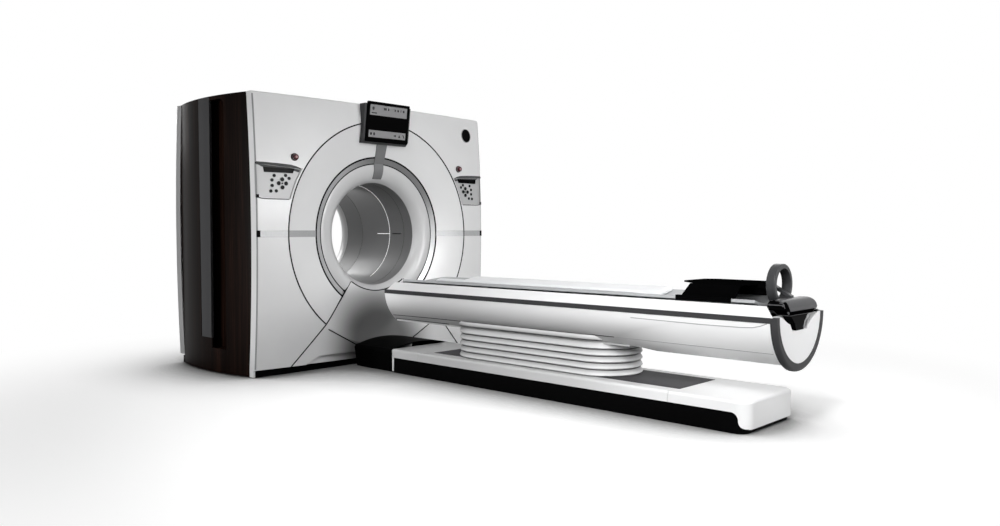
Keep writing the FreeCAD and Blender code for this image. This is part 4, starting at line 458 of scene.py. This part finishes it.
def between(a, b, steps=60):
    return [(a[0] + (b[0] - a[0]) * i / steps, a[1] + (b[1] - a[1]) * i / steps)
            for i in range(steps + 1)]


def joined(points, steps):
    """Points along straight runs between given points, each run cut into steps."""
    return [p for a, b in zip(points, points[1:]) for p in between(a, b, steps)]


def mirrored(points, side):
    return [(side * x, z) for x, z in points]


def box_middle(node):
    """Middle (x, z) of a node's box, and its front y."""
    (x0, y, z0), (x1, _, z1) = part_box(node)
    return (x0 + x1) / 2, y, (z0 + z1) / 2


# ---------------------------------------------------------------- gantry face
FACE_R, CORNER_DEPTH = 10.5, 0.549            # crown's radius, and its depth at the covers' corners
HALF_WIDTH, TOP = 1.097, 1.984
CORNER_R = math.hypot(HALF_WIDTH, TOP - ISO)
LIP_R, RING_IN_R, RING_OUT_R, CIRCLE_R = 0.443, 0.545, 0.592, 0.860
MOUTH = ((0.4435, -0.5252), (0.494, -0.5385), (RING_IN_R, -0.5420))         # (radius, y) of the bell mouth
DISH = ((RING_OUT_R, -0.5585), (0.726, -0.5931), (CIRCLE_R, -0.6177))       # and of the dished ring
LOWER = ((LIP_R, -0.5270), (RING_OUT_R, -0.5645), (CIRCLE_R, -0.6177))      # and of the lower cover
DIAGONAL = ((0.2622, 0.636), (0.8240, 0.0552))
DIAGONAL_X, DIAGONAL_SLOPE, LOWER_TOP = 0.2625, 0.9675, 0.64
SEAM_PROUD, SEAM_THICK = 0.0018, 0.004
FRONT = (0, -1, 0)


def crown(r):
    return CORNER_DEPTH + math.sqrt(FACE_R**2 - r**2) - math.sqrt(FACE_R**2 - CORNER_R**2)


def face_y(x, z):
    return -crown(math.hypot(x, z - ISO))


def line_through(a, b, t):
    """Value at t of the line through two points of (t, value)."""
    return a[1] + (b[1] - a[1]) * (t - a[0]) / (b[0] - a[0])


def curve_through(points, t):
    """Value at t of the parabola through three points of (t, value)."""
    (a, fa), (b, fb), (c, fc) = points
    return (fa * (t - b) * (t - c) / ((a - b) * (a - c)) + fb * (t - a) * (t - c) / ((b - a) * (b - c))
            + fc * (t - a) * (t - b) / ((c - a) * (c - b)))


def front_y(r):
    """Front surface at a radius: bell mouth, silver ring, dished ring, crowned cover."""
    if r < RING_IN_R:
        return curve_through(MOUTH, r)
    if r < RING_OUT_R:
        return line_through(MOUTH[-1], DISH[0], r)
    if r < CIRCLE_R:
        return curve_through(DISH, r)
    return -crown(r)


def lower_y(r):
    """Surface of the lower cover at a radius."""
    if r < RING_OUT_R:
        return line_through(LOWER[0], LOWER[1], r)
    if r < CIRCLE_R:
        return line_through(LOWER[1], LOWER[2], r)
    return -crown(r)


def front_seam(name, points, width):
    """Dark gasket along (x, z) points of the front, level with the prouder of its two surfaces."""
    path = []
    for x, z in points:
        r = math.hypot(x, z - ISO)
        on_lower = z < LOWER_TOP and abs(x) < DIAGONAL_X + (DIAGONAL[0][1] - z) * DIAGONAL_SLOPE
        path.append((x, min(front_y(r), lower_y(r)) if on_lower else front_y(r), z))
    ribbon(name, "base", "gasket", path, FRONT, width, SEAM_PROUD, SEAM_THICK)


def face_plate(name, look, outline, proud, thick, bevel=0.0):
    """Thin plate that follows the crowned front and stands proud of it."""
    prism(name, "base", look, outline, lambda x, z, d: (x, face_y(x, z) - proud + d, z), thick,
          bevel=bevel)


def seat_ring(ring, x, z, follow=False):
    """Move a ring from the origin onto the front; follow bends it to the crown."""
    for v in ring.data.vertices:
        at_x, at_z = x + v.co.x, z + v.co.z
        y = face_y(at_x, at_z) if follow else face_y(x, z)
        v.co = Vector((at_x, y + v.co.y, at_z))


front_seam("seam_cover_circle", arc_points(CIRCLE_R, -50.3, 230.3, 200), 0.0095)
front_seam("seam_ring_outer", arc_points(RING_OUT_R, -52.2, 232.2), 0.0125)
front_seam("seam_ring_inner", arc_points(RING_IN_R, -52.8, 232.8), 0.0115)
front_seam("seam_lower_lip", arc_points(LIP_R, -124.8, -55.2, 60), 0.008)
for side, name in SIDES:
    front_seam("seam_diagonal_" + name, between(*mirrored(DIAGONAL, side)), 0.0085)

PLATE_X, PLATE_Z, PLATE_R = 0.922, 1.836, 0.055
face_plate("round_plate", "black_gloss", disc(PLATE_X, PLATE_Z, PLATE_R, 64), 0.004, 0.006, bevel=0.0015)
plate_rim = ring_band("round_plate_rim", "steel",
                      [(0.0555, 0.0), (0.0555, -0.0045), (0.0590, -0.0045), (0.0605, 0.0)],
                      centre_z=0.0, steps=64)
seat_ring(plate_rim, PLATE_X, PLATE_Z, follow=True)

# ---------------------------------------------------------------- control panels
PANEL_DEEP, KEY_PROUD = 0.011, 0.0036
PANEL_RING_R = 0.872
PLATE_PROUD, PLATE_THICK = 0.0012, 0.003
SMALL_KEY_R, MIDDLE_KEY_R, CAP_R, STOP_FACE_R = 0.0118, 0.0065, 0.0148, 0.0092
SMALL_KEYS = ((0.565, 1.408), (0.60, 1.376), (0.575, 1.338), (0.59, 1.299), (0.445, 1.301),
              (0.305, 1.412), (0.20, 1.392))  # (share of the panel's width, z)
MIDDLE_KEY = (0.33, 1.355)
RECESS_EDGE = ((1.0965, 1.487), (1.089, 1.4945), (1.010, 1.493), (0.923, 1.490), (0.828, 1.484),
               (0.790, 1.476), (0.755, 1.463))
# Dark plates of painted shade on the recess's upper wall and on its floor.
RECESS_WALL_SHADE = ((1.0965, 1.480), (1.089, 1.4945), (1.010, 1.493), (0.923, 1.490), (0.828, 1.484),
               (0.790, 1.476), (0.757, 1.463), (0.790, 1.466), (0.900, 1.472), (1.000, 1.478))
FLOOR_SHADE = ((1.070, 1.479), (0.915, 1.474), (0.824, 1.4655), (0.755, 1.456), (0.762, 1.438),
               (0.809, 1.447), (0.905, 1.4605), (1.045, 1.4655))
RECESS_FOOT = ((1.095, 1.262), (1.085, 1.2535), (1.060, 1.2475), (1.015, 1.245), (0.850, 1.2435))
RECESS_BLOCK = rect(1.076, 1.0965, 1.2505, 1.274)
COLLAR = [(0.0212, -0.0086), (0.0266, -0.0086), (0.0272, -0.006), (0.0272, 0.0), (0.0212, 0.0)]
EDGE_X, EDGE_FOOT, EDGE_TOP = 1.085, 0.062, 1.965
EDGE_ROUND, EDGE_MIDDLE = 0.012, 0.0085       # cover's edge radius, and where its rounding faces outward


def across(share, z):
    """Distance from the mid-plane of a place between the panel's ring edge and the cover's edge."""
    ring = math.sqrt(PANEL_RING_R**2 - (z - ISO)**2)
    return ring + share * (HALF_WIDTH - ring)


def panel_plate(name, look, outline, proud, thick):
    """Plate that stands proud of the panel's sunken floor."""
    face_plate(name, look, outline, proud - PANEL_DEEP, thick)


def cover_line(name, look, points, width):
    path = [(x, face_y(x, z), z) for x, z in joined(points, 6)]
    ribbon(name, "base", look, path, FRONT, width)


def face_disc(name, body, look, x, y, z, r, thick):
    prism(name, body, look, disc(x, z, r, 32), lambda u, v, d: (u, y + d, v), thick)


def recess(side, name):
    """Edge and foot lines of the panel's recess, dark plates of painted shade on its wall and floor, and the
    block at its outer foot.
    """
    cover_line("recess_edge_" + name, "gasket", mirrored(RECESS_EDGE, side), 0.0075)
    cover_line("recess_foot_" + name, "fine_line", mirrored(RECESS_FOOT, side), 0.0065)
    face_plate("recess_wall_shade_" + name, "recess_shade", mirrored(RECESS_WALL_SHADE, side),
               PLATE_PROUD, PLATE_THICK)
    panel_plate("recess_shade_" + name, "recess_shade", mirrored(FLOOR_SHADE, side),
                PLATE_PROUD, PLATE_THICK)
    face_plate("recess_block_" + name, "gasket", mirrored(RECESS_BLOCK, side), 0.0010, PLATE_THICK)


def keys(side, name):
    """Round keys of the sealed mat, and the caps that move with the push keys."""
    for i, (share, z) in enumerate(SMALL_KEYS):
        panel_plate("small_key_%s_%d" % (name, i), "key", disc(side * across(share, z), z, SMALL_KEY_R, 32),
                    KEY_PROUD, KEY_PROUD - 0.0002)
    share, z = MIDDLE_KEY
    panel_plate("key_middle_" + name, "key", disc(side * across(share, z), z, MIDDLE_KEY_R, 24),
                0.002, 0.0018)
    for key in ("up", "down", "outer", "inner"):
        node = "key_%s_%s" % (name, key)
        x, y, z = box_middle(node)
        face_disc(node + "_cap", node, "key", x, y - 0.0004, z, CAP_R, 0.0022)


def stop_details(stop):
    """Pale face on the stop's head and the collar round it."""
    x, y, z = box_middle(stop)
    face_disc(stop + "_face", stop, "red_face", x, y - 0.0005, z, STOP_FACE_R, 0.002)
    collar = ring_band(stop + "_collar", "red_collar", COLLAR, centre_z=0.0, steps=48)
    seat_ring(collar, x, z)


def cover_edge(side, name):
    """Grey strip of painted shade down the rounded outer edge of a front cover."""
    path = [(side * (EDGE_X + EDGE_MIDDLE), face_y(EDGE_X, z) + EDGE_ROUND - EDGE_MIDDLE, z)
            for z, _ in between((EDGE_FOOT, 0), (EDGE_TOP, 0))]
    ribbon("cover_edge_shade_" + name, "base", "edge_shade_grey", path, (side, -1, 0), 0.011)


# ---------------------------------------------------------------- display
SCREEN_LOW, SCREEN_HIGH = (-0.648, 1.700), (-0.684, 2.000)     # (y, z) of the glass's two edges
FIELD_HALF = 0.180


def on_screen(x, t, d):
    """Point on the leaning screen: t from 0 at its lower edge to 1 at the upper, d behind the glass."""
    y = SCREEN_LOW[0] + (SCREEN_HIGH[0] - SCREEN_LOW[0]) * t
    z = SCREEN_LOW[1] + (SCREEN_HIGH[1] - SCREEN_LOW[1]) * t
    lean = math.atan2(SCREEN_LOW[0] - SCREEN_HIGH[0], SCREEN_HIGH[1] - SCREEN_LOW[1])
    return (x, y + d * math.cos(lean), z + d * math.sin(lean))


def screen_field(name, look, outline, lift=0.0004):
    prism(name, "base", look, outline, lambda x, t, d: on_screen(x, t, d - lift), lift,
          smooth=False)


screen_field("screen_top_band", "screen_grey", rect(-FIELD_HALF, FIELD_HALF, 0.665, 0.925))
screen_field("screen_low_band", "screen_grey", rect(-FIELD_HALF, FIELD_HALF, 0.115, 0.290))
MARKS = (oval(-0.150, 0.83, 0.012, 0.045, 20), rect(-0.165, -0.115, 0.705, 0.735),
         rect(-0.050, -0.022, 0.81, 0.875), oval(-0.004, 0.84, 0.007, 0.035, 20),
         rect(0.055, 0.068, 0.81, 0.865), oval(0.090, 0.835, 0.009, 0.033, 20),
         rect(0.115, 0.122, 0.81, 0.87), oval(0.146, 0.835, 0.009, 0.033, 20),
         oval(-0.158, 0.20, 0.010, 0.038, 20), oval(-0.128, 0.20, 0.010, 0.038, 20),
         [(0.060, 0.20), (0.085, 0.165), (0.085, 0.235)], [(0.108, 0.16), (0.130, 0.16), (0.119, 0.245)],
         [(0.150, 0.235), (0.158, 0.245), (0.172, 0.165), (0.164, 0.155)])
for i, outline in enumerate(MARKS):
    screen_field("screen_mark_%02d" % i, "screen_mark", outline, 0.0007)

for side, name in SIDES:
    recess(side, name)
    keys(side, name)
    stop_details("estop_" + name)
    cover_edge(side, name)

# ---------------------------------------------------------------- bore lights and seams
LINER_R, LIGHT_R, LINE_R = 0.4005, 0.3992, 0.3990
SEAM_HALF = 0.001

ring_band("bore_light_ring", "glow",
          [(LINER_R, -0.1940), (LIGHT_R, -0.1940), (LIGHT_R, -0.1905), (LINER_R, -0.1905)],
          start=-62, end=100, steps=140)
prism("laser_line", "base", "glow", rect(-0.192, -0.027, -0.0022, 0.0022),
      lambda y, up, d: (math.sqrt(LINE_R**2 - up**2) + d, y, ISO + up), 0.0012, smooth=False)
for name, y in (("liner_seam_front", -0.377), ("liner_seam_rear", 0.180)):
    ring_band(name, "gasket", [(0.4006, y - SEAM_HALF), (0.3995, y - SEAM_HALF),
                               (0.3995, y + SEAM_HALF), (0.4006, y + SEAM_HALF)])

# ---------------------------------------------------------------- kick panel, handle and corner strips
KICK_EDGE = ((0.262, 0.154), (0.530, 0.300))
HANDLE_SECTION = ((-3.8484, 0.630), (-3.8484, 0.669), (-3.856, 0.679), (-3.875, 0.6816),
                  (-3.900, 0.6790), (-3.9245, 0.6690), (-3.9345, 0.6560), (-3.9408, 0.6400),
                  (-3.9467, 0.6260), (-3.9386, 0.5994), (-3.8790, 0.5994))     # (y, z)
HANDLE_ROWS = ((-0.1928, 0.6335, 0.6475), (-0.1860, 0.6300, 0.6640), (-0.1790, 0.6260, 0.6725),
               (-0.1650, 0.6180, 0.6795), (-0.1520, 0.6105, 0.6816), (-0.1420, 0.6047, 0.6816))

for side, name in SIDES:
    path = [(x, lower_y(math.hypot(x, z - ISO)), z) for x, z in between(*mirrored(KICK_EDGE, side), 30)]
    ribbon("kick_edge_" + name, "base", "gasket", path, FRONT, 0.008, SEAM_PROUD, SEAM_THICK)


def handle_end():
    """Dark moulded end of the handle beside the ring's arm: the section cut to (x, lowest, highest) rows."""
    verts = [(x, y, min(max(z, low), high)) for x, low, high in HANDLE_ROWS for y, z in HANDLE_SECTION]
    piece("handle_end", "cradle", "tray", verts, skin(len(HANDLE_ROWS), len(HANDLE_SECTION)))


handle_end()
lip = [(x, -3.9428, 0.6125) for x, _ in between((-0.142, 0), (0.150, 0), 20)]
ribbon("handle_lip", "cradle", "tray", lip, (0, -1, -0.31), 0.020)

for side, name in SIDES:
    prism("cover_foot_" + name, "base", "base_white", rect(side * 1.0815, side * 1.0968, -0.530, -0.480),
          lambda x, y, d: (x, y, 0.004 + d), 0.0505, bevel=0.0015)
    prism("base_corner_" + name, "base", "base_white", rect(side * 0.2718, side * 0.2808, -1.0525, -1.0412),
          lambda x, y, d: (x, y, 0.012 + d), 0.0978, bevel=0.0012)

# ---------------------------------------------------------------- table trim
TROUGH_R, BAND_Z = 0.292, 0.601
TRAY_SEAM = ((-0.985, 0.4110), (-1.40, 0.4160), (-2.95, 0.4200))               # lines as (y, z)
TRAY_SEAM_NEAR = ((-2.95, 0.4200), (-3.90, 0.4165))
TRAY_FOOT = ((-0.985, 0.3835), (-1.55, 0.3835))
GRIP_RECESS = ((-3.10, 0.546), (-3.53, 0.541), (-3.753, 0.543), (-3.817, 0.547), (-3.859, 0.557),
               (-3.895, 0.572))
NOTCH_INSERT = ((-0.1085, 0.5975), (0.1085, 0.5975), (0.0655, 0.5605), (0.0605, 0.5595),
                (0.0455, 0.5215), (-0.0455, 0.5215), (-0.0605, 0.5595), (-0.0655, 0.5605))
NOTCH_BEVEL = ((0.1085, 0.5975), (0.0655, 0.5605), (0.0605, 0.5595), (0.0455, 0.5215),
               (0.0370, 0.5215), (0.0520, 0.5655), (0.0570, 0.5665), (0.0930, 0.5975))


def trough_line(name, look, points, width, side):
    """Line along (y, z) points of the trough's round side."""
    path = [(side * math.sqrt(TROUGH_R**2 - (BAND_Z - z)**2), y, z) for y, z in joined(points, 12)]
    ribbon(name, "table_top", look, path, lambda p: (p.x, 0, p.z - BAND_Z), width)


def notch_plate(name, look, outline, y, thick):
    prism(name, "table_top", look, outline, lambda x, z, d: (x, y + d, z), thick,
          smooth=False)


for side, name in SIDES:
    trough_line("tray_seam_" + name, "fine_line", TRAY_SEAM, 0.0055, side)
    trough_line("tray_seam_near_" + name, "pale_line", TRAY_SEAM_NEAR, 0.0035, side)
    trough_line("tray_foot_" + name, "fine_line", TRAY_FOOT, 0.0070, side)
    trough_line("grip_recess_" + name, "pale_line", GRIP_RECESS, 0.0045, side)
notch_plate("notch_insert", "notch_black", NOTCH_INSERT, -3.9352, 0.045)
notch_plate("notch_bevel", "notch_grey", NOTCH_BEVEL, -3.9358, 0.004)

# ---------------------------------------------------------------- mattress
PAD_NEAR, PAD_FAR, PAD_HALF = -3.094, -1.400, 0.1985
SEAT_Z, SEAT_RISE = 0.6445, 0.032 * (0.200 / 0.205)**2
CROWN_Z, CROWN_RISE = 0.672, 0.031
END_DRAW, SIDE_DRAW, SEWN_EDGE = 0.030, 0.020, 0.004


def quarter_round(share):
    """Height of a quarter circle, 0 at its foot and 1 on top."""
    return math.sqrt(max(0.0, 1 - (1 - share)**2))


def mattress():
    """Foam pad in the curved board: crowned top, drawn-in sides and a sewn edge."""
    cols, rows = 18, 60
    length = PAD_FAR - PAD_NEAR
    verts = []
    for j in range(rows + 1):
        t = j / rows
        y = PAD_NEAR + length * t
        slope = quarter_round(min(1.0, min(t, 1 - t) * length / END_DRAW))
        for i in range(cols + 1):
            x = -PAD_HALF + 2 * PAD_HALF * i / cols
            seam = SEAT_Z + SEAT_RISE * (x / PAD_HALF)**2 + SEWN_EDGE
            rise = CROWN_Z + CROWN_RISE * (x / PAD_HALF)**2 - seam
            drawn = 0.30 + 0.70 * quarter_round(min(1.0, (PAD_HALF - abs(x)) / SIDE_DRAW))
            verts.append((x, y, seam + rise * drawn * (0.12 + 0.88 * slope)))
        for i in range(cols + 1):
            x = PAD_HALF - 2 * PAD_HALF * i / cols
            verts.append((x * 0.996, y, SEAT_Z + SEAT_RISE * (x / PAD_HALF)**2 + 0.0006))
    pad = piece("mattress", "cradle", "pad", verts, skin(rows + 1, 2 * (cols + 1)), subdiv=1)
    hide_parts("cradle_pad")


mattress()

# ---------------------------------------------------------------- bellows
SKIRT_FOOT, SKIRT_LOWEST, RIM_Z = 0.1703, 0.1708, 0.3890
SKIRT_HALF, SKIRT_NEAR, SKIRT_FAR = 0.244, -2.963, -1.541
FOLDS, TOP_FOLD = 5, 1.47                     # folds, and the top one's height in steps
# Rows as (height, drawn in by, tone), tone being painted shade below 1 and painted highlight above 1: the
# undercut's heights are shares of a step, the slope's of the rest.
UNDERCUT = ((0.06, 0.0290, 0.18), (0.17, 0.0180, 0.95), (0.28, 0.0142, 1.15))
SLOPE = ((0.16, 0.0150, 1.08), (0.50, 0.0205, 0.84), (0.85, 0.0275, 0.58))
RIM = ((-0.0008, 0.0300, 0.06), (0.0, 0.0290, 0.06), (0.0, 0.0030, 0.10), (0.0012, 0.0004, 0.14),
       (0.006, 0.0001, 0.75), (0.020, 0.0001, 1.15), (0.0262, 0.0001, 1.1), (0.0305, 0.0010, 0.15),
       (0.0320, 0.0045, 0.10), (0.0320, 0.0170, 0.10))


def stadium(half, y0, y1, z, arc=28):
    """Level loop of two half circles joined by straight sides."""
    turns = [math.pi * i / arc for i in range(arc + 1)]
    near = [(half * math.cos(math.pi + a), y0 + half + half * math.sin(math.pi + a), z) for a in turns]
    return near + [(half * math.cos(a), y1 - half + half * math.sin(a), z) for a in turns]


def bellows():
    """Pleated skirt round the lift: rounded ridges with sharp undercuts and a thick rim at the top."""
    step = (RIM_Z - SKIRT_FOOT) / (FOLDS - 1 + TOP_FOLD)
    rows = []
    for i in range(FOLDS):
        base = SKIRT_FOOT + i * step
        under = UNDERCUT[-1][0] * step
        rest = (TOP_FOLD if i == FOLDS - 1 else 1.0) * step - under
        rows.append((max(SKIRT_LOWEST, base), 0.0300, 0.10))
        rows += [(base + t * step, d, tone) for t, d, tone in UNDERCUT]
        rows += [(base + under + t * rest, d, tone) for t, d, tone in SLOPE]
    rows += [(RIM_Z + up, d, tone) for up, d, tone in RIM]
    verts, tones = [], []
    for z, d, tone in rows:
        loop = stadium(SKIRT_HALF - d, SKIRT_NEAR + d, SKIRT_FAR - d, z)
        verts += loop
        tones += [tone] * len(loop)
    skirt = piece("bellows_skirt", None, "bellows", verts, skin(len(rows), len(loop), capped=False))
    # The fold attribute holds each row's tone of painted shade and highlight.
    skirt.data.attributes.new("fold", "FLOAT", "POINT").data.foreach_set("value", tones)
    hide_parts("bellows")
    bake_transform(skirt)


bellows()

# ---------------------------------------------------------------- camera, floor and light
PITCH, YAW = 90 - 2.22, -46.88
LIT_GREY, FLOOR_HALF = 0.15, 40.0
SOFT_LIGHT = 0.09
# name, place, target, width, height, watts, spread in degrees
LAMPS = (
    ("left_high", (-4.6, -4.6, 4.4), (-0.2, -3.2, 0.4), 1.5, 1.5, 30.0, 60),
    ("left_low", (-5.6, -5.2, 2.4), (-0.2, -3.4, 0.3), 1.5, 1.5, 21.5, 60),
    ("left_side", (-9.0, 2.5, 1.1), (-1.1, -0.25, 1.05), 0.8, 2.2, 5.0, 10),
    ("front_right", (2.5, -9.0, 2.2), (0.1, -0.6, 1.3), 1.6, 1.6, 16.2, 50),
    ("front_left", (-3.2, -8.2, 2.4), (-0.5, -0.6, 1.1), 1.6, 1.6, 4.8, 50),
    ("front_high", (0.2, -7.6, 4.6), (0.1, -0.6, 1.1), 2.0, 1.6, 16.1, 60),
    ("table_end", (1.2, -9.5, 0.9), (0.3, -3.9, 0.45), 1.0, 0.8, 2.0, 30),
    ("right", (5.4, -1.5, 3.0), (0.4, -1.0, 0.8), 3.0, 3.0, 35.9, 180),
    ("back", (0.6, 6.5, 3.6), (0.0, 0.6, 1.0), 3.0, 3.0, 190, 180),
)


def stand(name, data, location):
    obj = bpy.data.objects.new(name, data)
    obj.location = location
    bpy.context.scene.collection.objects.link(obj)
    return obj


def camera():
    data = bpy.data.cameras.new("camera")
    data.sensor_width = 36.0
    data.lens = 30.046
    cam = stand("camera", data, (-4.1265, -5.7099, 1.0248))
    cam.rotation_euler = (math.radians(PITCH), 0, math.radians(YAW))
    bpy.context.scene.camera = cam


def straight_rays(tree):
    """Factor of 1 for the camera, reflections and glass, and 0 for every other ray."""
    paths = add(tree, "LightPath")
    seen = add(tree, "Math", operation="ADD")
    either = add(tree, "Math", operation="ADD", use_clamp=True)
    tree.links.new(paths.outputs["Is Camera Ray"], seen.inputs[0])
    tree.links.new(paths.outputs["Is Glossy Ray"], seen.inputs[1])
    tree.links.new(seen.outputs[0], either.inputs[0])
    tree.links.new(paths.outputs["Is Transmission Ray"], either.inputs[1])
    return either.outputs[0]


def mixed(tree, factor, first, second):
    """Output of a mix of two shaders' outputs."""
    mix = add(tree, "MixShader")
    tree.links.new(factor, mix.inputs["Fac"])
    tree.links.new(first, mix.inputs[1])
    tree.links.new(second, mix.inputs[2])
    return mix.outputs[0]


def surface_of(tree, kind):
    return next(n for n in tree.nodes if n.type == kind).inputs["Surface"]


def world():
    """Soft even light, which the camera and reflections see as white."""
    studio = bpy.data.worlds.new("studio")
    bpy.context.scene.world = studio
    studio.use_nodes = True
    tree = studio.node_tree
    soft = tree.nodes["Background"]
    soft.inputs["Color"].default_value = (1, 1, 1, 1)
    soft.inputs["Strength"].default_value = SOFT_LIGHT
    white = add(tree, "Background", {"Color": (1, 1, 1, 1)})
    tree.links.new(mixed(tree, straight_rays(tree), soft.outputs[0], white.outputs[0]),
                   surface_of(tree, "OUTPUT_WORLD"))


def floor():
    """Pale floor: a lit surface with its shadow round the machine, plain white further out."""
    mesh = bpy.data.meshes.new("floor")
    corners = rect(-FLOOR_HALF, FLOOR_HALF, -FLOOR_HALF, FLOOR_HALF)
    mesh.from_pydata([(x, y, 0) for x, y in corners], [], [(0, 1, 2, 3)])
    obj = stand("floor", mesh, (0, 0, 0))
    mat = new_material("floor_pale", (LIT_GREY,) * 3, 0.9, spec=0.0)
    tree = mat.node_tree
    tones = [(0.3, (LIT_GREY - 0.005,) * 3), (0.7, (LIT_GREY + 0.005,) * 3)]
    into(mat, ramp(mat, noise(mat, 0.8), tones), "Base Color")
    contact = add(tree, "AmbientOcclusion", {"Distance": 0.9}, samples=8).outputs["AO"]
    lit = add(tree, "BsdfDiffuse")
    tree.links.new(remap(tree, contact, 0.50, 0.95, 0.28, 0.95, "LINEAR"), lit.inputs["Color"])
    lift = add(tree, "Emission")
    tree.links.new(remap(tree, contact, 0.50, 0.95, 0.0, 0.50, "LINEAR"), lift.inputs["Strength"])
    near = add(tree, "AddShader")
    tree.links.new(lit.outputs[0], near.inputs[0])
    tree.links.new(lift.outputs[0], near.inputs[1])
    position = add(tree, "NewGeometry").outputs["Position"]
    fade = remap(tree, apart(tree, position, (0.0, -1.6, 0.0)), 2.2, 4.2, 0.0, 1.0)
    shown = mixed(tree, fade, near.outputs[0], add(tree, "Emission").outputs[0])
    tree.links.new(mixed(tree, straight_rays(tree), shader(mat).outputs[0], shown),
                   surface_of(tree, "OUTPUT_MATERIAL"))
    mesh.materials.append(mat)


def lamp(name, location, target, width, height, watts, spread):
    data = bpy.data.lights.new(name, "AREA")
    data.shape = "RECTANGLE"
    data.size, data.size_y = width, height
    data.energy = watts
    data.spread = math.radians(spread)
    aim = Vector(target) - Vector(location)
    stand(name, data, location).rotation_euler = aim.to_track_quat("-Z", "Y").to_euler()


camera()
world()
floor()
for row in LAMPS:
    lamp(*row)
bpy.context.scene.view_settings.view_transform = "Standard"
